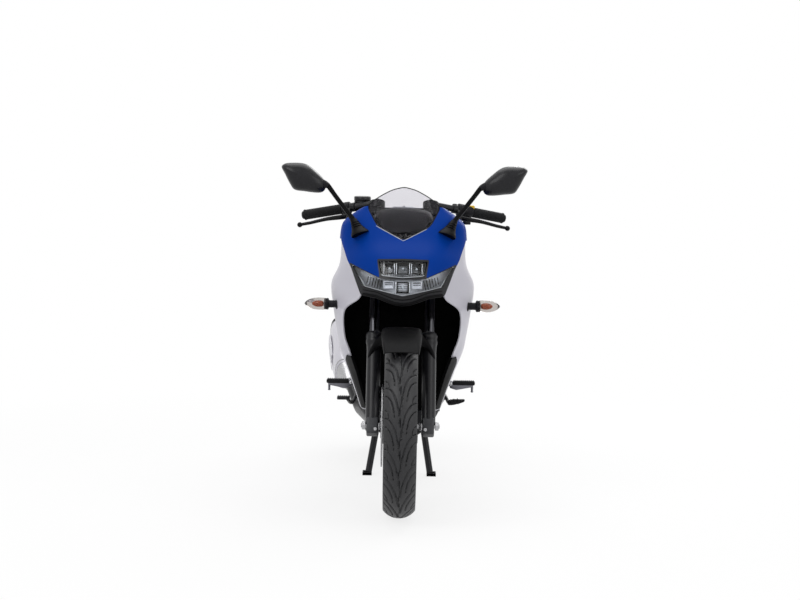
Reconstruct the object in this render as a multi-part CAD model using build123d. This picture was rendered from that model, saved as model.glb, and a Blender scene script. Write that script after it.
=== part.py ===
from build123d import *
import math
import os

# A small faired sport bike. It faces -Y, +X is the rider's left, +Z is up.
# Lengths are in millimetres. "d" is a distance behind the front axle.

# ---- driving dimensions ----
overall_length = 2025.0
wheelbase = 1340.0
rake_deg = 25.0
trail = 97.0

front_tyre_radius = 296.0
front_tyre_width = 104.0
rear_tyre_radius = 300.0
rear_tyre_width = 140.0
rear_wheel_lift = 12.0
bead_radius = 216.0
rim_well_depth = 20.0
spoke_count = 6
spoke_width = 26.0
spoke_thickness = 16.0

front_axle_radius = 7.5
rear_axle_radius = 8.5
hub_bore_clearance = 0.3
fit_clearance = 0.1
hinge_clearance = 0.4

fork_half_spacing = 90.0
stanchion_radius = 18.5
slider_radius = 23.5
slider_top = 318.0
slider_bottom = -34.0
stanchion_top = 786.0
clamp_spacing = 175.0
lower_clamp_height = 34.0
clamp_below_top = 51.0
upper_clamp_height = 20.0
head_gap = 4.0
head_tube_radius = 28.0
head_bore_radius = 19.0
stem_radius = 15.0

front_disc_radius = 133.0
front_disc_x = -59.0
front_disc_thickness = 4.5
rear_disc_radius = 110.0
rear_disc_x = -82.0
rear_disc_thickness = 4.5
sprocket_radius = 82.0
sprocket_x = 83.0
sprocket_thickness = 6.0
chain_width = 10.0
chain_height = 12.0
chain_gap = 6.0
front_sprocket_radius = 30.0

mudguard_gap = 16.0
mudguard_half_width = 62.0
mudguard_wall = 3.0

panel_wall = 4.0
nose_wall = 4.0
lens_depth = 26.0
screen_wall = 3.0

mirror_tip_x = 406.0
lever_ball_radius = 9.0
lever_radius = 5.5
grip_radius = 16.5
bar_radius = 11.0

seat_half_width = 125.0

swingarm_pivot_d = 810.0
swingarm_pivot_z = 345.0
swingarm_arm_x = 120.0
swingarm_arm_width = 30.0
swingarm_arm_height = 52.0

centre_pivot_d = 830.0
centre_pivot_z = 235.0
centre_foot_lead = 36.0
centre_foot_x = 112.0
centre_leg_radius = 12.0
centre_sole_length = 46.0
centre_sole_width = 34.0
centre_sole_thickness = 12.0

side_pivot_x = 118.0
side_pivot_lead = 74.0
side_pivot_z = 262.0
side_leg_length = 215.0
side_leg_radius = 10.0

plate_width = 200.0
plate_height = 130.0
plate_thickness = 2.0

# ---- places worked out from them ----
front_axle_y = -overall_length / 2 + front_tyre_radius
front_axle_z = front_tyre_radius
rear_axle_d = wheelbase
rear_axle_z = rear_tyre_radius + rear_wheel_lift
rear_end_d = overall_length - front_tyre_radius

rake = math.radians(rake_deg)
rake_sin = math.sin(rake)
rake_cos = math.cos(rake)
steering_offset = front_tyre_radius * rake_sin - trail * rake_cos
upper_clamp_s = stanchion_top - clamp_below_top
lower_clamp_s = upper_clamp_s - clamp_spacing
side_pivot = (side_pivot_x, swingarm_pivot_d - side_pivot_lead, side_pivot_z)


# ---- helpers ----
def at(x, d, z):
    """A point from its side offset, distance behind the front axle and height."""
    return (x, front_axle_y + d, z)


def on_fork(x, ahead, s):
    """A point s up the fork leg's line from the axle, and so far ahead of it."""
    return at(x, s * rake_sin - ahead * rake_cos, front_axle_z + s * rake_cos + ahead * rake_sin)


def fork_plane(x, ahead, s):
    """A plane square to the steering axis; its own +Y points backward."""
    return Plane(origin=on_fork(x, ahead, s), x_dir=(1, 0, 0), z_dir=(0, rake_sin, rake_cos))


def rod(start, end, radius, end_radius=None):
    """A round bar, or a cone, between two points."""
    a = Vector(*start)
    b = Vector(*end)
    length = (b - a).length
    plane = Plane(origin=a, z_dir=b - a)
    lift = Pos(0, 0, length / 2)
    if end_radius is None:
        return plane * lift * Cylinder(radius, length)
    return plane * lift * Cone(radius, end_radius, length)


def pipe(points, bends, radius):
    """A round pipe along straight runs joined by arcs."""
    path = FilletPolyline(*points, radius=bends)
    return sweep(Plane(origin=path @ 0, z_dir=path % 0) * Circle(radius), path=path)


def block(x0, x1, d0, d1, z0, z1):
    """A box from its limits."""
    middle = at((x0 + x1) / 2, (d0 + d1) / 2, (z0 + z1) / 2)
    return Pos(*middle) * Box(x1 - x0, d1 - d0, z1 - z0)


def across(outline, x0, x1):
    """A side-view outline of (d, z) points, run from x0 to x1."""
    points = [(front_axle_y + d, z) for d, z in outline]
    return extrude(Plane.YZ.offset(x0) * make_face(Polyline(*points, close=True)), amount=x1 - x0)


def along(outline, d0, d1):
    """A front-view outline of (x, z) points, run from d0 back to d1."""
    plane = Plane(origin=at(0, d1, 0), x_dir=(1, 0, 0), z_dir=(0, -1, 0))
    return extrude(plane * make_face(Polyline(*outline, close=True)), amount=d1 - d0)


def both_sides(half):
    """A right-hand outline of (x, z) points, closed by its mirror image."""
    return half + [(-x, z) for x, z in reversed(half) if x > 0]


def slices(levels):
    """A body through flat outlines of (x, d) points at heights z."""
    faces = []
    for z, outline in levels:
        points = [(x, front_axle_y + d) for x, d in outline]
        faces.append(Pos(0, 0, z) * make_face(Polyline(*points, close=True)))
    return loft(faces, ruled=True)


def other_side(shape):
    return mirror(shape, about=Plane.YZ)


def pair(shape):
    """A piece and its mirror image."""
    return shape + other_side(shape)


# ---- wheels ----
def ring_x(x0, x1, outer, inner, d, z):
    """A flat ring round an axle that runs along X."""
    centre = Pos(*at((x0 + x1) / 2, d, z)) * Rot(0, 90, 0)
    return centre * (Cylinder(outer, x1 - x0) - Cylinder(inner, (x1 - x0) * 2))


def tyre(width, radius, d, z):
    half = width / 2
    shoulder = radius - 26
    bead_half = half - 12
    profile = make_face([
        Polyline((-half, shoulder), (-bead_half, bead_radius), (bead_half, bead_radius), (half, shoulder)),
        ThreePointArc((half, shoulder), (0, radius), (-half, shoulder)),
    ])
    ring = revolve(profile, axis=Axis.X)
    return Pos(*at(0, d, z)) * ring


def rim(width, hub_half, hub_radius, axle_radius, d, z):
    half = width / 2 - 14
    inner = bead_radius - rim_well_depth
    barrel = ring_x(-half, half, bead_radius, inner, d, z)
    hub = ring_x(-hub_half, hub_half, hub_radius, axle_radius + hub_bore_clearance, d, z)
    whole = barrel + hub
    span = inner - hub_radius + 8
    for i in range(spoke_count):
        turn = Pos(*at(0, d, z)) * Rot(360 / spoke_count * i, 0, 0)
        whole += turn * Pos(0, 0, hub_radius - 4 + span / 2) * Box(spoke_thickness, spoke_width, span)
    return whole


def disc(x, thickness, radius, d, z):
    carrier_radius = radius * 0.62
    plate = ring_x(x - thickness / 2, x + thickness / 2, radius, 34, d, z)
    hole_count = 8
    for i in range(hole_count):
        turn = Pos(*at(x, d, z)) * Rot(360 / hole_count * i, 0, 0)
        plate -= turn * Pos(0, 0, carrier_radius) * Rot(0, 90, 0) * Cylinder(9, thickness * 2)
    return plate


nodes = {}

nodes["front_tyre"] = tyre(front_tyre_width, front_tyre_radius, 0, front_axle_z)
nodes["rear_tyre"] = tyre(rear_tyre_width, rear_tyre_radius, rear_axle_d, rear_axle_z)

front_hub_half = -front_disc_x - front_disc_thickness / 2
rear_hub_half = -rear_disc_x - rear_disc_thickness / 2
sprocket_face = sprocket_x - sprocket_thickness / 2
nodes["front_rim"] = rim(front_tyre_width, front_hub_half, 36, front_axle_radius, 0, front_axle_z)
rear_rim = rim(rear_tyre_width, min(rear_hub_half, sprocket_face), 40, rear_axle_radius, rear_axle_d,
    rear_axle_z)
nodes["rear_rim"] = rear_rim
nodes["front_disc"] = disc(front_disc_x, front_disc_thickness, front_disc_radius, 0, front_axle_z)
nodes["rear_disc"] = disc(rear_disc_x, rear_disc_thickness, rear_disc_radius, rear_axle_d, rear_axle_z)
nodes["rear_sprocket"] = ring_x(
    sprocket_face, sprocket_face + sprocket_thickness, sprocket_radius, 36, rear_axle_d, rear_axle_z)


# ---- fork and steering ----
def fork_bar(x, s0, s1, radius):
    return rod(on_fork(x, 0, s0), on_fork(x, 0, s1), radius)


axle_hole = rod(at(-130, 0, front_axle_z), at(130, 0, front_axle_z), front_axle_radius + fit_clearance)


def slider(x):
    leg = fork_bar(x, slider_bottom, slider_top, slider_radius)
    lug = fork_plane(x, 0, 0) * Box(2 * slider_radius - 12, 40, 60)
    return leg + lug - axle_hole


nodes["fork_sliders"] = slider(fork_half_spacing) + slider(-fork_half_spacing)
nodes["fork_stanchions"] = (
    fork_bar(fork_half_spacing, slider_top, stanchion_top, stanchion_radius)
    + fork_bar(-fork_half_spacing, slider_top, stanchion_top, stanchion_radius))


def yoke(s0, height):
    """A clamp plate that reaches from the steering stem to both legs."""
    x = fork_half_spacing + stanchion_radius + 8
    outline = [(-x, -22), (x, -22), (x, 22), (40, steering_offset + 22), (-40, steering_offset + 22),
        (-x, 22)]
    plate = fork_plane(0, 0, s0) * extrude(make_face(Polyline(*outline, close=True)), amount=height)
    return plate


stanchion_room = (
    fork_bar(fork_half_spacing, slider_top, stanchion_top + 20, stanchion_radius + fit_clearance)
    + fork_bar(-fork_half_spacing, slider_top, stanchion_top + 20, stanchion_radius + fit_clearance))
stem = rod(
    on_fork(0, -steering_offset, lower_clamp_s + 2),
    on_fork(0, -steering_offset, upper_clamp_s + upper_clamp_height + 8), stem_radius)
clamps = yoke(lower_clamp_s, lower_clamp_height) + yoke(upper_clamp_s, upper_clamp_height) + stem
nodes["triple_clamps"] = clamps - stanchion_room

# Clip-on bars: points are (x, d, z) on the rider's left.
bar_s = stanchion_top - 9
bar_setback = 11.0
bar_root = (100.0, bar_s * rake_sin + bar_setback, front_axle_z + bar_s * rake_cos)


def from_bar(x, back, up):
    """A place set off from the bar's root, as (x, d, z)."""
    return (x, bar_root[1] + back, bar_root[2] + up)


grip_start = from_bar(210.0, 41.0, -20.0)
grip_end = from_bar(345.0, 91.0, -45.0)


def bar_point(x):
    """The bar's centre at a distance x from the middle of the bike."""
    share = (x - grip_start[0]) / (grip_end[0] - grip_start[0])
    d = grip_start[1] + share * (grip_end[1] - grip_start[1])
    z = grip_start[2] + share * (grip_end[2] - grip_start[2])
    return at(x, d, z)


clip_s0 = upper_clamp_s + upper_clamp_height + 1
clip_ring = fork_bar(fork_half_spacing, clip_s0, stanchion_top - 2, stanchion_radius + 8)
clip = clip_ring + rod(bar_point(bar_root[0]), bar_point(grip_end[0] - 4), bar_radius)
clip = clip - stanchion_room
nodes["handlebars"] = pair(clip)
grip = rod(bar_point(grip_start[0]), bar_point(grip_end[0]), grip_radius)
bar_room = rod(bar_point(bar_root[0]), bar_point(grip_end[0] - 4), bar_radius)
nodes["grips"] = pair(grip - bar_room)

switch_start_x = 176.0
switch_radius = 21.0
switch = rod(bar_point(switch_start_x), bar_point(grip_start[0] - 1), switch_radius) - bar_room
lever_root = at(*from_bar(190, 4, -43))
lever_tip = at(*from_bar(352, 31, -76))
perch = rod(bar_point(188), lever_root, 9) - bar_room
lever = rod(lever_root, lever_tip, 8, lever_radius)
lever_ball = Pos(*lever_tip) * Sphere(lever_ball_radius)
nodes["bar_controls"] = pair(switch + perch + lever + lever_ball)

reservoir_radius = 27.0
reservoir_height = 34.0
reservoir_place = from_bar(-140.0, 45.0, -12.0)
cup = Pos(*at(reservoir_place[0], reservoir_place[1], reservoir_place[2] + reservoir_height / 2))
reservoir = cup * Cylinder(reservoir_radius, reservoir_height)
reservoir_keep_out = other_side(rod(bar_point(bar_root[0]), bar_point(grip_end[0]), bar_radius + 1))
nodes["brake_reservoir"] = reservoir - reservoir_keep_out


# ---- mudguard ----
def guard_arc(radius, start_deg, end_deg):
    """Side-view points round the front axle: 0 degrees is forward, 90 is up."""
    steps = 10
    points = []
    for i in range(steps + 1):
        angle = math.radians(start_deg + (end_deg - start_deg) * i / steps)
        points.append((-radius * math.cos(angle), front_axle_z + radius * math.sin(angle)))
    return points


guard_inner = front_tyre_radius + mudguard_gap
guard_outer = guard_inner + mudguard_wall
guard_front_deg = 54.0
guard_rear_deg = 146.0
guard_roof = (
    guard_arc(guard_outer, guard_front_deg, guard_rear_deg)
    + list(reversed(guard_arc(guard_inner, guard_front_deg, guard_rear_deg))))
roof = across(guard_roof, -mudguard_half_width, mudguard_half_width)
guard_side = (
    guard_arc(guard_outer, guard_front_deg, guard_rear_deg)
    + list(reversed(guard_arc(guard_inner - 40, guard_front_deg + 8, guard_rear_deg - 6))))
skirt = across(guard_side, mudguard_half_width - mudguard_wall, mudguard_half_width)
arm = across([(60, 595), (150, 575), (140, 470), (95, 470)], mudguard_half_width - 1, fork_half_spacing)
slider_room = fork_bar(fork_half_spacing, slider_bottom, slider_top, slider_radius)
stanchion_side = fork_bar(fork_half_spacing, slider_top, stanchion_top, stanchion_radius)
guard_half = skirt + (arm - slider_room - stanchion_side)
nodes["front_mudguard"] = roof + pair(guard_half)

# ---- front brake and axle ----
caliper_d = 88.0
caliper_z = front_axle_z + 84.0
caliper_slot = ring_x(
    front_disc_x - 5, front_disc_x + 5, front_disc_radius + 6, 30, 0, front_axle_z)
caliper_body = block(-88, -46, caliper_d - 32, caliper_d + 36, caliper_z - 34, caliper_z + 40)
nodes["front_caliper"] = caliper_body - caliper_slot - other_side(slider_room)

spacer_radius = 14.0
axle_end_x = fork_half_spacing + slider_radius + 14
hub_gap = 2.0
axle = rod(at(-axle_end_x, 0, front_axle_z), at(axle_end_x, 0, front_axle_z), front_axle_radius)
nut = rod(at(fork_half_spacing + slider_radius - 2, 0, front_axle_z), at(axle_end_x - 4, 0, front_axle_z), 15)
spacer = rod(
    at(front_hub_half + hub_gap, 0, front_axle_z),
    at(fork_half_spacing - slider_radius + 2, 0, front_axle_z), spacer_radius)
collars = pair(spacer + nut) - nodes["fork_sliders"]
disc_room = ring_x(front_disc_x - 5, front_disc_x + 5, 60, 0.1, 0, front_axle_z)
nodes["front_axle"] = axle + (collars - disc_room)

# ---- frame ----
head_bottom = on_fork(0, -steering_offset, lower_clamp_s + lower_clamp_height + head_gap)
head_top = on_fork(0, -steering_offset, upper_clamp_s - head_gap)
head_tube = rod(head_bottom, head_top, head_tube_radius)
head_bore = rod(
    on_fork(0, -steering_offset, lower_clamp_s), on_fork(0, -steering_offset, upper_clamp_s + 30),
    head_bore_radius)

spar_radius = 17.0
spar_x = 82.0
pivot_plate_x = 62.0
pivot_plate_wall = 12.0
spar_route = [
    at(14, 322, 880), at(spar_x, 440, 826), at(spar_x, swingarm_pivot_d - 110, 740),
    at(pivot_plate_x, swingarm_pivot_d - 10, 560), at(pivot_plate_x, swingarm_pivot_d + 2, 400)]
spar = pipe(spar_route, [60, 90, 60], spar_radius)
down_tube = pipe([at(0, 332, 846), at(0, 352, 640), at(0, 402, 470)], [200], 15)
plate_outline = [
    (swingarm_pivot_d - 28, 500), (swingarm_pivot_d + 28, 500), (swingarm_pivot_d + 36, swingarm_pivot_z),
    (centre_pivot_d + 20, centre_pivot_z - 13), (centre_pivot_d - 18, centre_pivot_z - 21),
    (swingarm_pivot_d - 30, swingarm_pivot_z - 45)]
pivot_plate = across(plate_outline, pivot_plate_x - pivot_plate_wall / 2,
    pivot_plate_x + pivot_plate_wall / 2)
pivot_bolt_radius = 9.0
swing_hole = rod(
    at(-140, swingarm_pivot_d, swingarm_pivot_z), at(140, swingarm_pivot_d, swingarm_pivot_z),
    pivot_bolt_radius)
stand_hole_radius = 8.0
stand_hole = rod(
    at(-140, centre_pivot_d, centre_pivot_z), at(140, centre_pivot_d, centre_pivot_z),
    stand_hole_radius + hinge_clearance)
cross_tube_d = swingarm_pivot_d - 10
cross_tube = rod(at(-pivot_plate_x, cross_tube_d, 480), at(pivot_plate_x, cross_tube_d, 480), 14)
frame = head_tube + pair(spar + pivot_plate) + down_tube + cross_tube
nodes["frame_main"] = frame - head_bore - swing_hole - stand_hole

stay_point = at(0, 188, 912)
stay_half = 198.0
stay = rod(at(0, 286, 886), stay_point, 9) + rod(at(-stay_half, 188, 912), at(stay_half, 188, 912), 8)

rail = pipe([at(70, swingarm_pivot_d - 86, 752), at(72, 960, 742), at(64, 1440, 838)], [300], 11)
rail_brace = rod(at(pivot_plate_x, swingarm_pivot_d + 2, 500), at(70, 1130, 772), 9)
rail_tie = rod(at(-68, 1240, 796), at(68, 1240, 796), 9)
nodes["subframe"] = pair(rail + rail_brace) + rail_tie - nodes["frame_main"]

# ---- engine ----
case_outline = [
    (404, 430), (436, 470), (640, 480), (swingarm_pivot_d - 38, 440), (centre_pivot_d - 54, 300),
    (centre_pivot_d - 90, 226), (480, 214), (420, 262)]
crankcase = across(case_outline, -84, 66)
side_lug_gap = 0.5
side_lug = block(
    60, side_pivot[0] - side_lug_gap, side_pivot[1] - 16, side_pivot[1] + 18, side_pivot[2] - 18,
    side_pivot[2] + 18)
nodes["engine_crankcase"] = crankcase + side_lug - nodes["frame_main"]

cylinder_tilt = 12.0
cylinder_foot = at(0, 520, 474)
cylinder_lean = math.radians(cylinder_tilt)
cylinder_frame = Plane(
    origin=cylinder_foot, x_dir=(1, 0, 0), z_dir=(0, -math.sin(cylinder_lean), math.cos(cylinder_lean)))
barrel_height = 90.0
head_height = 78.0
fin_count = 9
fin_thickness = 2.6
barrel = cylinder_frame * Pos(0, 0, barrel_height / 2) * Box(96, 100, barrel_height)
head_block = cylinder_frame * Pos(0, 0, barrel_height + head_height / 2) * Box(118, 122, head_height)
cylinder = barrel + head_block
for i in range(fin_count):
    height = 10 + (barrel_height - 14) / (fin_count - 1) * i
    cylinder += cylinder_frame * Pos(0, 0, height) * Box(132, 134, fin_thickness)
nodes["engine_cylinder"] = cylinder - nodes["engine_crankcase"]

clutch_x = -84.0
clutch = rod(at(clutch_x, 650, 340), at(clutch_x - 40, 650, 340), 92, 84)
clutch += rod(at(clutch_x, 530, 330), at(clutch_x - 28, 530, 330), 64, 58)
generator_x = 66.0
generator = rod(at(generator_x, 560, 336), at(generator_x + 46, 560, 336), 78, 70)
nodes["engine_covers"] = clutch + generator

# ---- exhaust, on the rider's right ----
exhaust_radius = 19.0
exhaust_route = [
    at(-44, 446, 590), at(-46, 376, 556), at(-52, 360, 400), at(-104, 404, 226), at(-106, 640, 226),
    at(-150, 850, 236), at(-190, 985, 316)]
exhaust = pipe(exhaust_route, [40, 80, 60, 120, 120], exhaust_radius)
solid_near_exhaust = nodes["engine_cylinder"] + nodes["engine_crankcase"]
nodes["exhaust_pipe"] = exhaust - solid_near_exhaust - nodes["engine_covers"]

muffler_start = at(-190, 985, 316)
muffler_end = at(-232, 1400, 474)
muffler_axis = Plane(origin=muffler_start, x_dir=(1, 0, 0),
    z_dir=Vector(*muffler_end) - Vector(*muffler_start))
muffler_length = (Vector(*muffler_end) - Vector(*muffler_start)).length
# Columns: distance along the can, width, height.
muffler_sections = [(0, 48, 48), (60, 96, 112), (150, 112, 150), (330, 112, 150), (muffler_length, 92, 122)]
can_faces = []
for length, width, height in muffler_sections:
    can_faces.append(muffler_axis * Pos(0, 0, length) * RectangleRounded(width, height,
        min(width, height) * 0.36))
can = loft(can_faces, ruled=True)
nodes["muffler"] = can - nodes["exhaust_pipe"]

shield_wall = 5.0
shield_block = muffler_axis * Pos(-57 - shield_wall / 2, 0, 250) * Box(shield_wall, 96, 170)
nodes["muffler_shield"] = shield_block - nodes["muffler"]

# ---- tank and seats ----
# Columns: height z, half width, front d, rear d, rear half width.
tank_table = [
    (764, 92, 452, 792, 66),
    (840, 138, 424, 806, 66),
    (900, 136, 442, 762, 62),
    (955, 102, 482, 690, 50),
    (984, 40, 536, 610, 24),
]
tank_levels = []
for z, half, front, rear, rear_half in tank_table:
    length = rear - front
    side = [
        (half * 0.72, front), (half, front + length * 0.28), (half * 0.92, front + length * 0.58),
        (rear_half, rear)]
    tank_levels.append((z, side + [(-x, d) for x, d in reversed(side)]))
tank = slices(tank_levels)
tunnel = block(-40, 40, 380, 640, 700, 800)
nodes["fuel_tank"] = tank - tunnel - nodes["frame_main"] - nodes["subframe"]

seat_gap = 3.0
rider_seat_outline = [
    (812 + seat_gap, 846), (870, 802), (1000, 796), (1072, 838), (1072, 776), (1000, 768),
    (812 + seat_gap, 768)]
rider_seat = across(rider_seat_outline, -seat_half_width, seat_half_width)
seat_taper = slices([
    (700, [(-70, 790), (70, 790), (seat_half_width, 1000), (seat_half_width, 1110), (-seat_half_width, 1110),
           (-seat_half_width, 1000)]),
    (900, [(-70, 790), (70, 790), (seat_half_width, 1000), (seat_half_width, 1110), (-seat_half_width, 1110),
           (-seat_half_width, 1000)])])
nodes["rider_seat"] = (rider_seat & seat_taper) - nodes["fuel_tank"] - nodes["subframe"]

pillion_outline = [(1076, 850), (1100, 874), (1300, 900), (1330, 892), (1330, 868), (1076, 838)]
pillion_plan = slices([
    (800, [(-92, 1070), (92, 1070), (72, 1335), (-72, 1335)]),
    (920, [(-92, 1070), (92, 1070), (72, 1335), (-72, 1335)])])
nodes["pillion_seat"] = across(pillion_outline, -95, 95) & pillion_plan

tail_end_d = 1476.0
# Columns: d, half width, bottom z, top z. The tail is closed below the pillion seat.
tail_table = [(1076, 116, 716, 836), (1200, 108, 740, 852), (1340, 86, 788, 868), (tail_end_d, 48, 846, 880)]


def tail_face(d, half, bottom, top):
    outline = [(-half * 0.7, bottom), (half * 0.7, bottom), (half, (bottom + top) / 2), (half * 0.86, top),
               (-half * 0.86, top), (-half, (bottom + top) / 2)]
    plane = Plane(origin=at(0, d, 0), x_dir=(1, 0, 0), z_dir=(0, -1, 0))
    return plane * make_face(Polyline(*outline, close=True))


tail = loft([tail_face(*row) for row in tail_table], ruled=True)
nodes["tail_cowl"] = tail - nodes["subframe"] - nodes["pillion_seat"] - nodes["rider_seat"]

cover_outer_x = 110.0
cover_wall = 6.0
cover_outline = [(800, 764), (1072, 764), (1072, 716), (960, 676), (850, 636), (808, 690)]
cover = across(cover_outline, cover_outer_x - cover_wall, cover_outer_x)
cover += rod(at(70, 920, 744), at(cover_outer_x - 1, 920, 744), 8)
nodes["side_covers"] = pair(cover) - nodes["subframe"]

tail_lamp_length = 26.0
lamp_faces = [tail_face(tail_end_d, 46, 848, 878), tail_face(tail_end_d + tail_lamp_length, 34, 854, 873)]
nodes["tail_lamp"] = loft(lamp_faces, ruled=True)

rail_points = [at(96, 1180, 872), at(112, 1210, 892), at(104, 1380, 908), at(60, 1420, 894),
    at(50, 1400, 872)]
grab = pipe(rail_points, [14, 40, 14], 8)
nodes["grab_rails"] = pair(grab) - nodes["tail_cowl"] - nodes["pillion_seat"]

# ---- rear fender, plate and lamps ----
# Columns: lead on the part's rear end, height z.
fender_table = [
    (349, 822), (289, 838), (169, 716), (29, 540), (0, 500), (8, 494), (39, 530), (181, 706), (301, 824),
    (343, 812)]
fender_outline = [(rear_end_d - lead, z) for lead, z in fender_table]
fender = across(fender_outline, -52, 52)
nodes["rear_fender"] = fender - nodes["tail_cowl"] - nodes["subframe"]
plate_d = rear_end_d - 99
plate_z = 628.0
plate_frame = Plane(origin=at(0, plate_d, plate_z), x_dir=(1, 0, 0), z_dir=(0, 176, 140))
plate = Box(plate_width, plate_height, plate_thickness)
nodes["number_plate"] = plate_frame * Pos(0, 0, plate_thickness / 2) * plate

rear_lamp_d = rear_end_d - 209
rear_lamp_z = 744.0
rear_stalk = rod(at(52, rear_lamp_d, rear_lamp_z), at(86, rear_lamp_d, rear_lamp_z), 6) - nodes["rear_fender"]
rear_lens = rod(at(86, rear_lamp_d, rear_lamp_z), at(150, rear_lamp_d + 6, rear_lamp_z), 14, 10)
nodes["rear_indicators"] = pair(rear_stalk + rear_lens)

# ---- nose bodywork ----
# Columns: height z, then half-outline points (x, d) from the middle to the rear edge.
nose_table = [
    (680, (0, -40), (70, -20), (150, 55), (196, 150), (196, 330)),
    (742, (0, -38), (80, -18), (160, 60), (203, 150), (203, 350)),
    (775, (0, -30), (82, -12), (166, 70), (207, 160), (207, 370)),
    (829, (0, 0), (80, 14), (170, 95), (206, 175), (206, 390)),
    (892, (0, 70), (75, 82), (150, 130), (204, 190), (200, 385)),
    (940, (0, 116), (70, 124), (140, 158), (196, 210), (192, 350)),
    (970, (0, 145), (60, 150), (110, 168), (164, 215), (164, 305)),
    (1000, (0, 174), (50, 178), (85, 188), (120, 206), (120, 240)),
]


def nose_levels(inset, rear_extra):
    levels = []
    for row in nose_table:
        half = [(max(x - inset, 0), d + inset) for x, d in row[1:-1]]
        half.append((row[-1][0] - inset, row[-1][1] + rear_extra))
        left = [(-x, d) for x, d in reversed(half) if x > 0]
        levels.append((row[0], half + left))
    return levels


nose_outer = slices(nose_levels(0, 0))
nose_inner = slices(nose_levels(nose_wall, 30))
lens_inner = slices(nose_levels(lens_depth, 30))
nose_skin = nose_outer - nose_inner

upper_lamp_outline = both_sides([(0, 829), (79, 826), (69, 779), (0, 775)])
lower_lamp_outline = both_sides([(0, 772), (72, 779), (90, 788), (167, 810), (127, 744), (0, 717)])
chin_outline = both_sides([
    (0, 836), (86, 833), (84, 794), (175, 816), (136, 716), (126, 712), (84, 709), (28, 688), (0, 685)])
screen_outline = both_sides([(0, 890), (88, 934), (122, 994), (106, 1013), (76, 1033), (40, 1052), (0, 1062)])

side_profile = [
    (-60, 752), (-60, 940), (190, 998), (240, 990), (300, 956), (400, 910), (400, 880), (196, 888), (92, 810),
    (44, 800), (40, 752)]
blue_zone = across(side_profile, -230, 230)
nose_front_cut = along(chin_outline, -80, 200)
screen_cut = along(screen_outline, -80, 330)
nodes["upper_fairing"] = (nose_skin & blue_zone) - nose_front_cut - screen_cut
nodes["fairing_stay"] = (stay & nose_inner) - nodes["frame_main"] - head_bore

lens_solid = nose_outer - lens_inner
upper_lens = lens_solid & along(upper_lamp_outline, -80, 160)
lower_lens = lens_solid & along(lower_lamp_outline, -80, 160)
nodes["headlight_upper"] = upper_lens
nodes["headlight_lower"] = lower_lens
chin_shell = lens_solid & along(chin_outline, -80, 160)
upper_room = along(upper_lamp_outline, -80, 160)
lower_room = along(lower_lamp_outline, -80, 160)
nodes["chin_trim"] = chin_shell - upper_room - lower_room

# ---- windscreen ----
# The screen continues the nose's surface up to this edge. Half-outline points are (x, d).
screen_top_z = 1066.0
screen_top = ((0, 238), (45, 241), (80, 250), (105, 262))
screen_rows = [(row[0], row[1:5]) for row in nose_table if row[0] >= 892]
screen_levels = []
for z, half in screen_rows + [(screen_top_z, screen_top)]:
    front = list(half)
    back = [(x, d + screen_wall) for x, d in reversed(front)]
    left_front = [(-x, d) for x, d in reversed(front[1:])]
    left_back = [(-x, d + screen_wall) for x, d in front[1:]]
    screen_levels.append((z, left_front + front + back + left_back))
screen = slices(screen_levels)
nodes["windscreen"] = screen & along(screen_outline, 0, 400)

# ---- side panels ----
# Columns: height z, front edge, widest point, rear edge, as (x, d).
side_table = [
    (884, (199, 184), (205, 230), (200, 430)),
    (806, (174, 104), (206, 190), (206, 430)),
    (742, (134, 56), (232, 236), (220, 470)),
    (708, (138, 60), (234, 250), (222, 500)),
    (655, (191, 150), (229, 262), (219, 540)),
    (570, (192, 200), (218, 300), (210, 600)),
    (510, (175, 250), (206, 320), (202, 640)),
    (430, (150, 300), (176, 352), (188, 690)),
    (345, (128, 330), (146, 372), (166, 716)),
    (300, (116, 345), (132, 384), (152, 720)),
]
side_levels = []
for z, *half in side_table:
    inner = [(x - panel_wall, d + panel_wall) for x, d in half]
    side_levels.append((z, half + list(reversed(inner))))
side_panel = slices(side_levels)
side_opening = across([(370, 610), (490, 640), (560, 560), (510, 505), (400, 520)], 0, 260)
nodes["side_fairing_left"] = side_panel - side_opening - nodes["upper_fairing"] - nodes["chin_trim"]
nodes["side_fairing_left"] = nodes["side_fairing_left"] - nodes["headlight_lower"]
nodes["side_fairing_right"] = other_side(nodes["side_fairing_left"])

# Belly pan. Columns: height z, then half-outline points (x, d).
belly_table = [
    (300, (116, 345), (132, 384), (152, 720)),
    (236, (90, 372), (104, 400), (112, 700)),
    (200, (50, 392), (60, 420), (64, 670)),
]
belly_levels = []
for z, front, wide, rear in belly_table:
    belly_levels.append((z, [
        (-front[0], front[1]), front, wide, rear, (-rear[0], rear[1]), (-wide[0], wide[1])]))
belly_outer = slices(belly_levels)
belly_inner_levels = []
belly_shrink = 1 - panel_wall / 80
belly_end_wall = panel_wall * 1.5
for z, outline in belly_levels:
    floor_z = z if z > 290 else z + panel_wall
    inner = [(x * belly_shrink, d - belly_end_wall if d > 600 else d + belly_end_wall) for x, d in outline]
    belly_inner_levels.append((floor_z, inner))
belly_inner = slices(belly_inner_levels)
belly = belly_outer - belly_inner
nodes["lower_cowl"] = belly - nodes["exhaust_pipe"] - nodes["engine_crankcase"] - nodes["engine_covers"]

# Dark wall behind the fork.
wall_outline = [
    (358, 306), (314, 430), (312, 640), (344, 790), (348, 789), (316, 639), (318, 431), (362, 308)]
wall_front = along(both_sides([(0, 800), (190, 800), (208, 640), (198, 570), (152, 440), (118, 306),
    (0, 306)]), 300, 380)
inner_wall = (across(wall_outline, -208, 208) & wall_front) - nodes["side_fairing_left"]
inner_wall = inner_wall - nodes["side_fairing_right"] - nodes["lower_cowl"]
nodes["inner_fairing"] = inner_wall - nodes["frame_main"] - nodes["exhaust_pipe"]

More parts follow.
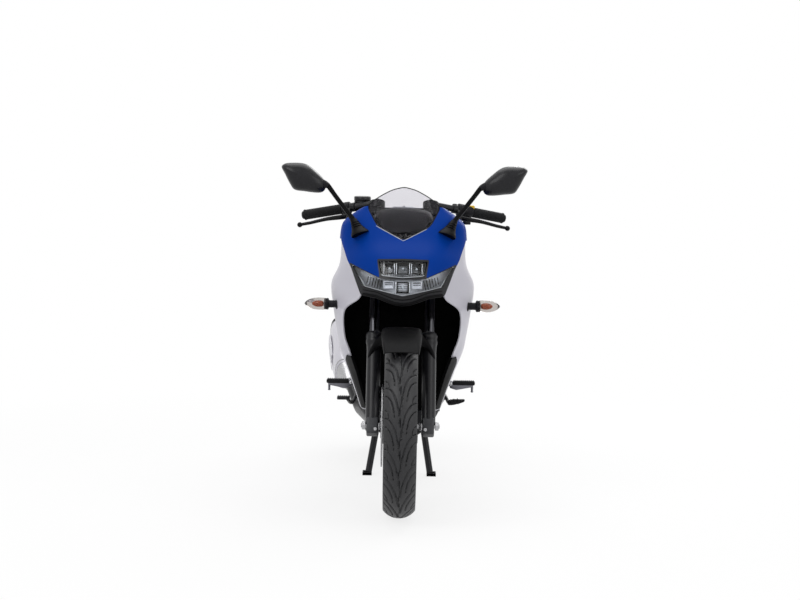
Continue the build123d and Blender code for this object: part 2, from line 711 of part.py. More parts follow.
# ---- instruments ----
meter_outline = [(126, 912), (196, 980), (222, 986), (222, 930), (200, 896)]
meter_body = across(meter_outline, -74, 74)
meter_front = along(both_sides([(0, 990), (50, 984), (74, 970), (74, 900), (0, 890)]), 150, 260)
meter = meter_body & meter_front
nodes["instrument_panel"] = meter - nodes["windscreen"] - nodes["fairing_stay"] - nodes["upper_fairing"]


# ---- mirrors ----
pod_outline = [(mirror_tip_x, 1122), (372, 1135), (326, 1131), (258, 1074), (268, 1039), (364, 1047),
    (377, 1064)]
pod_centre = (334.0, 1090.0)


def pod_face(scale, d):
    points = [(pod_centre[0] + (x - pod_centre[0]) * scale, pod_centre[1] + (z - pod_centre[1]) * scale)
              for x, z in pod_outline]
    plane = Plane(origin=at(0, d, 0), x_dir=(1, 0, 0), z_dir=(0, -1, 0))
    return plane * make_face(Polyline(*points, close=True))


pod = loft([pod_face(0.55, 176), pod_face(0.9, 190), pod_face(1.0, 214)], ruled=True)
stalk = pipe([at(158, 158, 926), at(200, 176, 1000), at(246, 196, 1068), at(284, 200, 1084)], [120, 40], 7.5)
boot = rod(at(140, 130, 892), at(176, 168, 950), 22, 11)
mirror_unit = pod + stalk + boot
nodes["mirror_left"] = mirror_unit - nose_outer
nodes["mirror_right"] = other_side(nodes["mirror_left"])

# ---- front indicators ----
lens_start_x = 250.0
lens_end_x = 326.0
indicator_d = 222.0
indicator_z = 669.0
indicator_stalk = rod(at(205, indicator_d, indicator_z), at(lens_start_x, indicator_d, indicator_z), 8)
stalk_keep_out = slices([(z, half + [(0, half[-1][1]), (0, half[0][1])]) for z, *half in side_table])
indicator = (indicator_stalk - stalk_keep_out) + rod(
    at(lens_start_x, indicator_d, indicator_z), at(lens_end_x, indicator_d + 8, indicator_z), 19, 12)
nodes["front_indicators"] = pair(indicator)

# ---- foot controls ----
peg_z = swingarm_pivot_z - 10
peg_d = swingarm_pivot_d + 40
peg_plate_x = 100.0
peg_plate_wall = 12.0
peg_bracket = across(
    [(peg_d - 44, 432), (peg_d - 10, 432), (peg_d + 20, 338), (peg_d + 18, 294), (peg_d - 10, 300)],
    peg_plate_x, peg_plate_x + peg_plate_wall)
peg_bolt_d = peg_d - 28
peg_bracket += rod(at(pivot_plate_x + pivot_plate_wall / 2, peg_bolt_d, 418),
    at(peg_plate_x + 2, peg_bolt_d, 418), 9)
peg = rod(at(112, peg_d, peg_z), at(186, peg_d, peg_z), 10) + rod(at(186, peg_d, peg_z),
    at(274, peg_d, peg_z), 13)
feeler = rod(at(262, peg_d, peg_z - 12), at(262, peg_d, peg_z - 34), 5)
nodes["footpegs"] = pair(peg_bracket + peg + feeler) - nodes["frame_main"]

pedal_arm = pipe([at(-156, peg_d + 12, 292), at(-176, peg_d - 60, 268), at(-190, peg_d - 134, 290)], [60], 7)
pedal_pad = block(-228, -182, peg_d - 156, peg_d - 128, 284, 302)
brake_pedal = pedal_arm + pedal_pad + rod(at(-112.5, peg_d + 16, 300), at(-160, peg_d + 12, 292), 9)
gear_arm = pipe([at(156, peg_d + 8, 300), at(170, peg_d - 60, 280), at(180, peg_d - 134, 282)], [60], 6)
gear_pad = rod(at(170, peg_d - 142, 284), at(230, peg_d - 142, 284), 9)
gear_lever = gear_arm + gear_pad + rod(at(112.5, peg_d + 12, 304), at(160, peg_d + 7, 300), 8)
nodes["foot_controls"] = brake_pedal + gear_lever - nodes["footpegs"]

# ---- swingarm, shock and chain ----
arm_start = at(swingarm_arm_x, swingarm_pivot_d + 76, swingarm_pivot_z)
arm_end = at(swingarm_arm_x, rear_axle_d + 42, rear_axle_z)
arm_span = Vector(*arm_end) - Vector(*arm_start)
arm_frame = Plane(origin=(Vector(*arm_start) + Vector(*arm_end)) * 0.5, x_dir=(1, 0, 0), z_dir=arm_span)
swing_side = arm_frame * Box(swingarm_arm_width, swingarm_arm_height, arm_span.length)
pivot_tube_half = pivot_plate_x - pivot_plate_wall / 2 - 1
pivot_tube = rod(
    at(-pivot_tube_half, swingarm_pivot_d, swingarm_pivot_z),
    at(pivot_tube_half, swingarm_pivot_d, swingarm_pivot_z), 17)
bridge_d = swingarm_pivot_d + 90
bridge_half = 14.0
bridge_low = swingarm_pivot_z - 21
bridge_high = swingarm_pivot_z + 19
swing_bridge = block(
    -swingarm_arm_x, swingarm_arm_x, bridge_d - bridge_half, bridge_d + bridge_half, bridge_low, bridge_high)
inner_arm = block(26, 46, swingarm_pivot_d + 4, bridge_d, bridge_low + 6, bridge_high - 6)
axle_hole_rear = rod(
    at(-150, rear_axle_d, rear_axle_z), at(150, rear_axle_d, rear_axle_z), rear_axle_radius + fit_clearance)
pivot_bolt_room = rod(
    at(-150, swingarm_pivot_d, swingarm_pivot_z), at(150, swingarm_pivot_d, swingarm_pivot_z),
    pivot_bolt_radius + fit_clearance)

chain_inner_x = sprocket_x - chain_width / 2 - chain_gap
chain_outer_x = sprocket_x + chain_width / 2 + chain_gap
front_sprocket_d = swingarm_pivot_d - 54
front_sprocket_z = swingarm_pivot_z + 5


def belt_outline(radius_front, radius_rear):
    """A side-view loop round both sprockets, as (arc, line, arc, line)."""
    span_d = rear_axle_d - front_sprocket_d
    span_z = rear_axle_z - front_sprocket_z
    span = math.hypot(span_d, span_z)
    lean = math.atan2(span_z, span_d)
    open_angle = math.acos((radius_front - radius_rear) / span)
    front = (front_sprocket_d, front_sprocket_z)
    rear = (rear_axle_d, rear_axle_z)

    def rim_point(centre, radius, angle):
        return (front_axle_y + centre[0] + radius * math.cos(angle), centre[1] + radius * math.sin(angle))

    top = lean + open_angle
    low = lean - open_angle
    front_top = rim_point(front, radius_front, top)
    front_low = rim_point(front, radius_front, low)
    rear_top = rim_point(rear, radius_rear, top)
    rear_low = rim_point(rear, radius_rear, low)
    return make_face([
        ThreePointArc(front_top, rim_point(front, radius_front, lean + math.pi), front_low),
        Line(front_low, rear_low),
        ThreePointArc(rear_low, rim_point(rear, radius_rear, lean), rear_top),
        Line(rear_top, front_top),
    ])


chain_inner = belt_outline(front_sprocket_radius, sprocket_radius + chain_gap)
chain_outer = belt_outline(front_sprocket_radius + chain_height, sprocket_radius + chain_gap + chain_height)
chain_plane = Plane.YZ.offset(sprocket_x - chain_width / 2)
chain_band = extrude(chain_plane * chain_outer, amount=chain_width)
chain_band -= extrude(chain_plane * chain_inner, amount=chain_width)
nodes["chain"] = chain_band
chain_room = extrude(
    Plane.YZ.offset(chain_inner_x) * belt_outline(
        front_sprocket_radius + chain_height + chain_gap, sprocket_radius + 2 * chain_gap + chain_height),
    amount=chain_outer_x - chain_inner_x)
chain_room -= extrude(
    Plane.YZ.offset(chain_inner_x) * belt_outline(front_sprocket_radius - chain_gap, sprocket_radius),
    amount=chain_outer_x - chain_inner_x)
front_sprocket = ring_x(
    sprocket_face, sprocket_face + sprocket_thickness, front_sprocket_radius, 8, front_sprocket_d,
    front_sprocket_z)
shaft_end_x = sprocket_face + sprocket_thickness + 6
output_shaft = rod(
    at(67, front_sprocket_d, front_sprocket_z), at(shaft_end_x, front_sprocket_d, front_sprocket_z), 12)
nodes["front_sprocket"] = front_sprocket + output_shaft

swing_pair = pair(swing_side + inner_arm) + swing_bridge + pivot_tube
spool_d = 1236.0
spool_thread_radius = 3.4
spool_depth = 18.0
arm_outer_x = swingarm_arm_x + swingarm_arm_width / 2
spool_z = swingarm_pivot_z + (rear_axle_z - swingarm_pivot_z) * (spool_d - swingarm_pivot_d - 76) / (
    rear_axle_d + 42 - swingarm_pivot_d - 76)
spool_hole = rod(
    at(arm_outer_x - spool_depth, spool_d, spool_z), at(arm_outer_x + 1, spool_d, spool_z),
    spool_thread_radius)
swing_pair -= pair(spool_hole)
nodes["swingarm"] = swing_pair - axle_hole_rear - pivot_bolt_room - chain_room - nodes["frame_main"]

# A short mudguard over the rear tyre, carried by the swingarm.
# Angles are forward of the rear, 90 degrees is up.
hugger_gap = 12.0
hugger_wall = 3.0
hugger_half = 60.0
hugger_start_deg = 84.0
hugger_end_deg = 152.0
hugger_leg_x = 106.0
hugger_leg_d = rear_axle_d - 262


def hugger_arc(radius, start_deg, end_deg):
    steps = 8
    points = []
    for i in range(steps + 1):
        angle = math.radians(start_deg + (end_deg - start_deg) * i / steps)
        points.append((rear_axle_d + radius * math.cos(angle), rear_axle_z + radius * math.sin(angle)))
    return points


hugger_inner = rear_tyre_radius + hugger_gap
hugger_outline = (
    hugger_arc(hugger_inner + hugger_wall, hugger_start_deg, hugger_end_deg)
    + list(reversed(hugger_arc(hugger_inner, hugger_start_deg, hugger_end_deg))))
hugger = across(hugger_outline, -hugger_half, hugger_half)
hugger_wing = block(hugger_half - 2, hugger_leg_x, hugger_leg_d - 20, hugger_leg_d, 470, 476)
hugger_leg = block(hugger_leg_x - 6, hugger_leg_x, hugger_leg_d - 20, hugger_leg_d, 340, 476)
nodes["rear_hugger"] = hugger + pair(hugger_wing + hugger_leg) - nodes["swingarm"]

pivot_bolt_end = pivot_plate_x + pivot_plate_wall / 2 + 12
pivot_bolt = rod(
    at(-pivot_bolt_end, swingarm_pivot_d, swingarm_pivot_z),
    at(pivot_bolt_end, swingarm_pivot_d, swingarm_pivot_z),
    pivot_bolt_radius - fit_clearance)

rear_axle_end = swingarm_arm_x + swingarm_arm_width / 2 + 22
rear_axle = rod(
    at(-rear_axle_end, rear_axle_d, rear_axle_z), at(rear_axle_end, rear_axle_d, rear_axle_z),
    rear_axle_radius)
rear_nut = rod(
    at(swingarm_arm_x + swingarm_arm_width / 2, rear_axle_d, rear_axle_z),
    at(rear_axle_end - 4, rear_axle_d, rear_axle_z), 15)
rear_spacer = rod(
    at(swingarm_arm_x - swingarm_arm_width / 2, rear_axle_d, rear_axle_z),
    at(92, rear_axle_d, rear_axle_z), 13)
nodes["rear_axles"] = rear_axle + pair(rear_nut + rear_spacer) + pivot_bolt

shock_low = at(0, bridge_d - 4, bridge_high + 4)
shock_high = at(0, swingarm_pivot_d + 26, 640)
shock_axis = Plane(origin=shock_low, x_dir=(1, 0, 0), z_dir=Vector(*shock_high) - Vector(*shock_low))
shock_length = (Vector(*shock_high) - Vector(*shock_low)).length
shock = rod(shock_low, shock_high, 16)
coil_pitch = 24.0
coil_turns = 6
for i in range(coil_turns):
    height = shock_length * 0.3 + coil_pitch * i
    shock += shock_axis * Pos(0, 0, height) * Cylinder(31, 9)
shock_tie_d = swingarm_pivot_d + 14
shock_tie = rod(at(-spar_x, shock_tie_d, 652), at(spar_x, shock_tie_d, 652), 12)
nodes["rear_shock"] = shock + shock_tie - nodes["swingarm"] - nodes["frame_main"]

# ---- stands ----
leg_low = at(centre_foot_x, centre_pivot_d - centre_foot_lead, centre_leg_radius)
foot = Pos(*at(centre_foot_x + 5, centre_pivot_d - centre_foot_lead + 8, centre_sole_thickness / 2)) * Box(
    centre_sole_width, centre_sole_length, centre_sole_thickness)
# The stand's ears sit outside the frame's plates.
ear_inner = pivot_plate_x + pivot_plate_wall / 2 + 0.5
ear = rod(at(ear_inner, centre_pivot_d, centre_pivot_z),
    at(ear_inner + 14, centre_pivot_d, centre_pivot_z), 17)
leg = rod(at(ear_inner + 7, centre_pivot_d, centre_pivot_z), leg_low, centre_leg_radius)
leg -= rod(at(0, centre_pivot_d, centre_pivot_z), at(ear_inner, centre_pivot_d, centre_pivot_z), 24)
stand_tie = rod(
    at(-ear_inner - 6, centre_pivot_d - 18, centre_pivot_z - 62),
    at(ear_inner + 6, centre_pivot_d - 18, centre_pivot_z - 62), 11)
stand_pin = rod(
    at(-ear_inner - 14, centre_pivot_d, centre_pivot_z), at(ear_inner + 14, centre_pivot_d, centre_pivot_z),
    stand_hole_radius)
nodes["centre_stand"] = pair(ear + leg + foot) + stand_tie + stand_pin

side_leg_start = at(side_pivot[0] + 14, side_pivot[1], side_pivot[2])
side_leg_splay = 40.0
side_leg_end = at(side_pivot[0] + side_leg_splay, side_pivot[1] + side_leg_length, side_pivot[2] + 6)
side_boss = rod(at(side_pivot[0], side_pivot[1], side_pivot[2]),
    at(side_pivot[0] + 24, side_pivot[1], side_pivot[2]), 16)
side_foot = Pos(*side_leg_end) * Box(34, 46, 10)
nodes["side_stand"] = side_boss + rod(side_leg_start, side_leg_end, side_leg_radius) + side_foot
os.makedirs("parts", exist_ok=True)
for name, shape in nodes.items():
    export_step(shape, f"parts/{name}.step")
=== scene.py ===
import math

import bmesh
import bpy
import numpy as np
from mathutils import Matrix, Vector
from mathutils.bvhtree import BVHTree


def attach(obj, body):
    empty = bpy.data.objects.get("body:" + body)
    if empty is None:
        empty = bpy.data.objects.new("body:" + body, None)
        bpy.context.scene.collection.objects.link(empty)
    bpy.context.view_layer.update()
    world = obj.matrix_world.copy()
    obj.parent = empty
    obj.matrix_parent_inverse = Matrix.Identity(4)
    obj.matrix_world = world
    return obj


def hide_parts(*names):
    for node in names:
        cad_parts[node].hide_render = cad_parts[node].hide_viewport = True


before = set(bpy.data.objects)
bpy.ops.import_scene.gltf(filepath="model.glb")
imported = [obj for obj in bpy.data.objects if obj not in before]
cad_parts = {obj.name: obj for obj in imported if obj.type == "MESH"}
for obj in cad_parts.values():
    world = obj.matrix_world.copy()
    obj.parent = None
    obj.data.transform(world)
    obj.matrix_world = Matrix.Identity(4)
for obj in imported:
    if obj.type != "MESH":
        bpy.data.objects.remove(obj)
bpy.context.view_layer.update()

# The sport bike's looks. It faces -Y, +X is the rider's left, +Z is up.
# Places are written in millimetres as (x, d, z), where d is the distance behind the front axle.

MM = 0.001
FRONT_AXLE_Y = -716.5
FRONT_AXLE_Z = 296.0
WHEELBASE = 1340.0
REAR_AXLE_Z = 312.0
RAKE = math.radians(25.0)
STEERING_OFFSET = 37.2
FRONT_SPROCKET = (756, 350)
CHAIN_X = 83
SPROCKET_INNER, SPROCKET_OUTER = 80, 86
GROOVE_DEPTH = 4.2
TYRE_CROWN = 26


# ---- places ----
def at(x, d, z):
    return Vector((x, FRONT_AXLE_Y + d, z)) * MM


def on_fork(x, ahead, s):
    """A place on the steering's slope: s up it from the axle, ahead square to it."""
    sin, cos = math.sin(RAKE), math.cos(RAKE)
    return at(x, s * sin - ahead * cos, FRONT_AXLE_Z + s * cos + ahead * sin)


def flip(points):
    return [Vector((-p.x, p.y, p.z)) for p in points]


FRONT_HUB = at(0, 0, FRONT_AXLE_Z)
REAR_HUB = at(0, WHEELBASE, REAR_AXLE_Z)
ACROSS = Vector((1, 0, 0))


def outward(side):
    return Vector((side, 0, 0))


SIDES = ((1, "left"), (-1, "right"))


# ---- curves ----
def catmull(points, steps, closed=False):
    """A smooth line through points, steps parts to each span."""
    count = len(points)
    spans = count if closed else count - 1
    line = []
    for i in range(spans):
        p1, p2 = points[i], points[(i + 1) % count]
        p0 = points[i - 1] if i > 0 or closed else p1 * 2 - p2
        p3 = points[(i + 2) % count] if i + 2 < count or closed else p2 * 2 - p1
        gap0, gap1, gap2 = (max((b - a).length, 1e-7) ** 0.5 for a, b in ((p0, p1), (p1, p2), (p2, p3)))
        m1 = ((p1 - p0) / gap0 - (p2 - p0) / (gap0 + gap1) + (p2 - p1) / gap1) * gap1
        m2 = ((p2 - p1) / gap1 - (p3 - p1) / (gap1 + gap2) + (p3 - p2) / gap2) * gap1
        for k in range(steps):
            t = k / steps
            line.append(p1 * (2 * t ** 3 - 3 * t ** 2 + 1) + m1 * (t ** 3 - 2 * t ** 2 + t)
                        + p2 * (3 * t ** 2 - 2 * t ** 3) + m2 * (t ** 3 - t ** 2))
    if not closed:
        line.append(points[-1].copy())
    return line


def rounded(outline, radius, steps=4):
    """A flat outline with its corners rounded."""
    points = [Vector(p) for p in outline]
    count = len(points)
    soft = []
    for i, corner in enumerate(points):
        before, after = points[i - 1] - corner, points[(i + 1) % count] - corner
        start = corner + before.normalized() * min(radius, before.length * 0.45)
        end = corner + after.normalized() * min(radius, after.length * 0.45)
        for k in range(steps + 1):
            t = k / steps
            soft.append(tuple(start * (1 - t) ** 2 + corner * 2 * t * (1 - t) + end * t ** 2))
    return soft


def smooth_rows(rows, row_steps, column_steps):
    """A fine grid through a coarse one."""
    fine = [catmull(row, column_steps) for row in rows]
    columns = [catmull([row[i] for row in fine], row_steps) for i in range(len(fine[0]))]
    return [[column[j] for column in columns] for j in range(len(columns[0]))]


# ---- meshes ----
def add_object(name, data):
    thing = bpy.data.objects.new(name, data)
    bpy.context.scene.collection.objects.link(thing)
    return thing


def new_object(name, vertices, faces):
    mesh = bpy.data.meshes.new(name)
    mesh.from_pydata([tuple(v) for v in vertices], [], faces)
    mesh.validate()
    thing = add_object(name, mesh)
    tidy_normals(thing)
    return thing


def tidy_normals(thing):
    work = bmesh.new()
    work.from_mesh(thing.data)
    bmesh.ops.remove_doubles(work, verts=work.verts, dist=1e-6)
    bmesh.ops.recalc_face_normals(work, faces=work.faces)
    work.to_mesh(thing.data)
    work.free()


def lofted(name, rings, steps):
    """A closed body through a few rings, with smooth ones between them."""
    columns = [catmull([ring[i] for ring in rings], steps) for i in range(len(rings[0]))]
    return rings_mesh(name, [[column[j] for column in columns] for j in range(len(columns[0]))])


def sheet_mesh(name, rows, closed=False):
    """A sheet through rows of points; closed joins each row's end to its start."""
    width = len(rows[0])
    vertices = [p for row in rows for p in row]
    span = width if closed else width - 1
    faces = []
    for j in range(len(rows) - 1):
        for i in range(span):
            k = (i + 1) % width
            faces.append((j * width + i, j * width + k, (j + 1) * width + k, (j + 1) * width + i))
    return new_object(name, vertices, faces)


def rings_mesh(name, rings):
    """A closed body through rings of points, capped at both ends."""
    width = len(rings[0])
    vertices = [p for ring in rings for p in ring]
    faces = [tuple(reversed(range(width)))]
    for j in range(len(rings) - 1):
        for i in range(width):
            k = (i + 1) % width
            faces.append((j * width + i, j * width + k, (j + 1) * width + k, (j + 1) * width + i))
    faces.append(tuple((len(rings) - 1) * width + i for i in range(width)))
    return new_object(name, vertices, faces)


def modify(thing, kind, **settings):
    """Adds one modifier and applies it."""
    modifier = thing.modifiers.new(kind.lower(), kind)
    for key, value in settings.items():
        setattr(modifier, key, value)
    depsgraph = bpy.context.evaluated_depsgraph_get()
    mesh = bpy.data.meshes.new_from_object(thing.evaluated_get(depsgraph))
    thing.modifiers.clear()
    old = thing.data
    thing.data = mesh
    bpy.data.meshes.remove(old)
    return thing


def thicken(thing, wall, offset=-1.0):
    return modify(thing, "SOLIDIFY", thickness=wall * MM, offset=offset, use_even_offset=True)


def soften(thing, width, segments=2, angle=35):
    return modify(thing, "BEVEL", width=width * MM, segments=segments, limit_method="ANGLE",
                  angle_limit=math.radians(angle), use_clamp_overlap=True)


def combine(thing, other, operation):
    """Joins, cuts or crosses with another object, which is used up."""
    bpy.context.view_layer.update()
    modify(thing, "BOOLEAN", object=other, operation=operation, solver="EXACT")
    bpy.data.objects.remove(other)
    return thing


def shade(thing, angle=35):
    for polygon in thing.data.polygons:
        polygon.use_smooth = True
    thing.data.set_sharp_from_angle(angle=math.radians(angle))
    return thing


def join(name, things):
    """One object from several; each keeps its own materials."""
    bpy.context.view_layer.update()
    work = bmesh.new()
    materials = []
    for thing in things:
        first = len(work.faces)
        mesh = thing.data.copy()
        mesh.transform(thing.matrix_world)
        work.from_mesh(mesh)
        work.faces.ensure_lookup_table()
        slots = list(thing.data.materials)
        for face in work.faces[first:]:
            used = slots[face.material_index] if slots else None
            if used not in materials:
                materials.append(used)
            face.material_index = materials.index(used)
    mesh = bpy.data.meshes.new(name)
    work.to_mesh(mesh)
    work.free()
    for used in materials:
        mesh.materials.append(used)
    for thing in things:
        bpy.data.objects.remove(thing)
    return add_object(name, mesh)


def tube(name, points, radius, sides=14, steps=8, smooth=True):
    """A round bar along a line. radius is one number, or one for each given point."""
    path = catmull(points, steps) if smooth and len(points) > 2 else list(points)
    radii = [radius] * len(path)
    if isinstance(radius, (list, tuple)):
        spread = [Vector((r, 0, 0)) for r in radius]
        radii = [r.x for r in (catmull(spread, steps) if smooth and len(points) > 2 else spread)]
    rings = []
    normal = None
    for i, p in enumerate(path):
        ahead = path[min(i + 1, len(path) - 1)] - path[max(i - 1, 0)]
        ahead.normalize()
        if normal is None:
            normal = ahead.orthogonal().normalized()
        normal = (normal - ahead * normal.dot(ahead)).normalized()
        other = ahead.cross(normal)
        rings.append([
            p + (normal * math.cos(2 * math.pi * k / sides) + other * math.sin(2 * math.pi * k / sides))
            * radii[i] * MM for k in range(sides)])
    return rings_mesh(name, rings)


def lathe(name, profile, start, direction, steps=48):
    """A turned body: profile is (along, radius) pairs in millimetres from start."""
    axis = Vector(direction).normalized()
    side = axis.orthogonal().normalized()
    other = axis.cross(side)
    rings = []
    for along, radius in profile:
        centre = Vector(start) + axis * along * MM
        reach = max(radius, 0.01) * MM
        rings.append([centre + (side * math.cos(2 * math.pi * k / steps)
                                + other * math.sin(2 * math.pi * k / steps)) * reach for k in range(steps)])
    return rings_mesh(name, rings)


def turned_ring(name, profile, start, direction, steps=96):
    """A ring with a closed profile of (along, radius) pairs."""
    axis = Vector(direction).normalized()
    side = axis.orthogonal().normalized()
    other = axis.cross(side)
    rows = []
    for k in range(steps + 1):
        turn = 2 * math.pi * (k % steps) / steps
        out = side * math.cos(turn) + other * math.sin(turn)
        rows.append([Vector(start) + axis * along * MM + out * radius * MM for along, radius in profile])
    return sheet_mesh(name, rows, closed=True)


def brick(name, centre, size, bevel=1.0, turn=None):
    """A block with rounded edges; turn is a matrix for its direction."""
    x, y, z = (v * MM / 2 for v in size)
    corners = [Vector((sx * x, sy * y, sz * z)) for sx in (-1, 1) for sy in (-1, 1) for sz in (-1, 1)]
    if turn is not None:
        corners = [turn @ c for c in corners]
    faces = [(0, 1, 3, 2), (4, 6, 7, 5), (0, 4, 5, 1), (2, 3, 7, 6), (0, 2, 6, 4), (1, 5, 7, 3)]
    thing = new_object(name, [c + Vector(centre) for c in corners], faces)
    return soften(thing, bevel, 3) if bevel else thing


def prism(name, outline, depth_from, depth_to, plane):
    """An outline pushed straight through. plane "front" takes (x, z) points, "side" takes (d, z) points."""
    rings = []
    for depth in (depth_from, depth_to):
        if plane == "front":
            rings.append([at(x, depth, z) for x, z in outline])
        else:
            rings.append([at(depth, d, z) for d, z in outline])
    return rings_mesh(name, rings)


def both_sides(half):
    return half + [(-x, z) for x, z in reversed(half) if x > 0]


def mirrored(thing, name):
    """A copy on the other side of the bike."""
    mesh = thing.data.copy()
    mesh.transform(Matrix.Scale(-1, 4, (1, 0, 0)))
    mesh.flip_normals()
    return add_object(name, mesh)


# ---- materials ----
def add_node(nodes, kind, **inputs):
    """A shader node with some inputs set; an underscore in a name stands for a space."""
    made = nodes.new("ShaderNode" + kind)
    for key, value in inputs.items():
        made.inputs[key.replace("_", " ")].default_value = value
    return made


RELIEFS = {"NOISE": "TexNoise", "CELLS": "TexVoronoi", "WAVES": "TexWave"}
RELIEF_HEIGHT = 0.0004


def material(name, colour, metallic=0.0, roughness=0.5, spread=0.06, scale=60.0, bump=0.0, bump_scale=300.0,
             pattern="NOISE", wear=0.08, **sockets):
    """A surface whose colour and roughness vary, with a fine relief."""
    made = bpy.data.materials.new(name)
    made.use_nodes = True
    nodes = made.node_tree.nodes
    links = made.node_tree.links
    shader = nodes["Principled BSDF"]
    place = add_node(nodes, "TexCoord")
    noise = add_node(nodes, "TexNoise", Scale=scale, Detail=4.0)
    links.new(place.outputs["Object"], noise.inputs["Vector"])
    ramp = add_node(nodes, "ValToRGB")
    low = [max(c * (1 - spread), 0) for c in colour]
    high = [min(c * (1 + spread) + spread * 0.01, 1) for c in colour]
    ramp.color_ramp.elements[0].position = 0.3
    ramp.color_ramp.elements[0].color = (*low, 1)
    ramp.color_ramp.elements[1].position = 0.7
    ramp.color_ramp.elements[1].color = (*high, 1)
    links.new(noise.outputs["Fac"], ramp.inputs["Fac"])
    links.new(ramp.outputs["Color"], shader.inputs["Base Color"])
    rough = add_node(nodes, "MapRange", From_Min=0.3, From_Max=0.7, To_Min=max(roughness - wear * 0.5, 0.02),
                     To_Max=min(roughness + wear * 0.5, 1))
    links.new(noise.outputs["Fac"], rough.inputs["Value"])
    links.new(rough.outputs["Result"], shader.inputs["Roughness"])
    shader.inputs["Metallic"].default_value = metallic
    if bump:
        relief = add_node(nodes, RELIEFS[pattern], Scale=bump_scale)
        links.new(place.outputs["Object"], relief.inputs["Vector"])
        lift = add_node(nodes, "Bump", Strength=bump, Distance=RELIEF_HEIGHT)
        links.new(relief.outputs[0], lift.inputs["Height"])
        links.new(lift.outputs["Normal"], shader.inputs["Normal"])
    for key, value in sockets.items():
        shader.inputs[key.replace("_", " ")].default_value = value
    return made


PAINT = {"Coat_Weight": 0.14, "Coat_Roughness": 0.12, "Specular_IOR_Level": 0.14}
DULL = {"Specular_IOR_Level": 0.14}
GLOSS = {"Coat_Weight": 0.12, "Coat_Roughness": 0.08, "Specular_IOR_Level": 0.2}
mats = { "blue": material("blue_lacquer", (0.0, 0.036, 0.27), 0.0, 0.4, 0.16, 900, 0.05, 2600,
    Specular_IOR_Level=0.04), "white": material("white_lacquer", (0.56, 0.55, 0.61), 0.0, 0.34, 0.02, 700,
    0.02, 2200, **PAINT), "gloss_black": material("gloss_black", (0.002, 0.002, 0.003), 0.0, 0.2, 0.2, 80,
    0.02, 900, Coat_Weight=0.04, Coat_Roughness=0.08, Specular_IOR_Level=0.1),
    "plastic": material("moulded_black", (0.007, 0.007, 0.009), 0.0, 0.5, 0.2, 90, 0.35, 1400, "CELLS",
    **DULL), "satin_black": material("satin_black", (0.007, 0.007, 0.009), 0.0, 0.34, 0.2, 120, 0.12,
    1100, **GLOSS), "rubber": material("rubber", (0.01, 0.01, 0.011), 0.0, 0.66, 0.25, 200, 0.3, 1500,
    **DULL), "tyre": material("tyre_rubber", (0.016, 0.016, 0.018), 0.0, 0.47, 0.3, 150, 0.25, 1300,
    wear=0.14, Specular_IOR_Level=0.4), "seat": material("seat_cover", (0.014, 0.014, 0.016), 0.0, 0.58,
    0.2, 140, 0.6, 900, "CELLS", **DULL), "cast": material("cast_engine", (0.045, 0.045, 0.05), 0.4, 0.5,
    0.18, 160, 0.4, 1200), "alloy": material("bare_alloy", (0.42, 0.43, 0.45), 0.9, 0.36, 0.08, 220, 0.1,
    1500), "steel": material("ground_steel", (0.42, 0.42, 0.43), 1.0, 0.28, 0.08, 300, 0.12, 1800),
    "chrome": material("hard_chrome", (0.62, 0.63, 0.65), 1.0, 0.12, 0.03, 200),
    "boot": material("boot_rubber", (0.002, 0.002, 0.0025), 0.0, 0.45, 0.2, 200, 0.2, 1300,
    # The fork stanchions' chrome is darkened: painted shade from the fairing above them.
    Specular_IOR_Level=0.06), "stanchion": material("shade_darkened_chrome", (0.05, 0.05, 0.055), 1.0, 0.14, 0.05,
    200), "peg_metal": material("peg_metal", (0.16, 0.16, 0.18), 0.85, 0.36, 0.06, 260, 0.08, 1600),
    "silver": material("satin_silver", (0.3, 0.3, 0.33), 0.85, 0.32, 0.06, 260, 0.08, 1600),
    "grey_block": material("cast_grey", (0.035, 0.036, 0.04), 0.2, 0.5, 0.15, 220, 0.3, 1300),
    "chain": material("chain_steel", (0.22, 0.19, 0.14), 0.9, 0.4, 0.2, 300, 0.2, 900),
    "glass": material("clear_lens", (0.93, 0.95, 0.97), 0.0, 0.04, 0.01, 40, Transmission_Weight=1.0,
    IOR=1.25), "screen": material("clear_screen", (0.72, 0.71, 0.75), 0.0, 0.03, 0.02, 30,
    Transmission_Weight=1.0, IOR=1.1), "amber": material("amber", (0.42, 0.1, 0.045), 0.0, 0.25, 0.08,
    300, 0.2, 900), "red_lens": material("red_lens", (0.4, 0.006, 0.008), 0.0, 0.12, 0.1, 200, 0.1, 900,
    **GLOSS), "mirror": material("mirror_glass", (0.8, 0.82, 0.84), 1.0, 0.02, 0.01, 30),
    "display": material("display", (0.02, 0.03, 0.034), 0.0, 0.12, 0.2, 60, **GLOSS),
    "plate": material("blank_plate", (0.75, 0.75, 0.73), 0.0, 0.35, 0.03, 120, 0.1, 900),
    "yellow": material("yellow_switch", (0.7, 0.45, 0.03), 0.0, 0.4, 0.08, 300, 0.1, 900),
    "lamp_white": material("lamp_white", (0.5, 0.53, 0.57), 0.1, 0.2, 0.04, 200, 0.05, 900),
    "lamp_bowl": material("lamp_bowl", (0.55, 0.56, 0.6), 0.25, 0.3, 0.05, 200, 0.12, 700, "WAVES"),
    "lamp_dark": material("lamp_dark", (0.09, 0.094, 0.1), 0.3, 0.28, 0.1, 200, 0.12, 700, "WAVES"),
    "tint": material("tinted_lens", (0.5, 0.47, 0.45), 0.0, 0.05, 0.03, 40, Transmission_Weight=1.0,
    IOR=1.15), "ink": material("deep_black", (0.001, 0.001, 0.001), 0.0, 0.8, 0.2, 90, 0.2, 900,
    Specular_IOR_Level=0.02), "can": material("can_lacquer", (0.62, 0.61, 0.66), 0.3, 0.3, 0.03, 500,
    0.03, 1600, **PAINT), }


def paint(thing, finish):
    """Gives a thing one finish all over."""
    thing.data.materials.clear()
    thing.data.materials.append(mats[finish])
    return thing


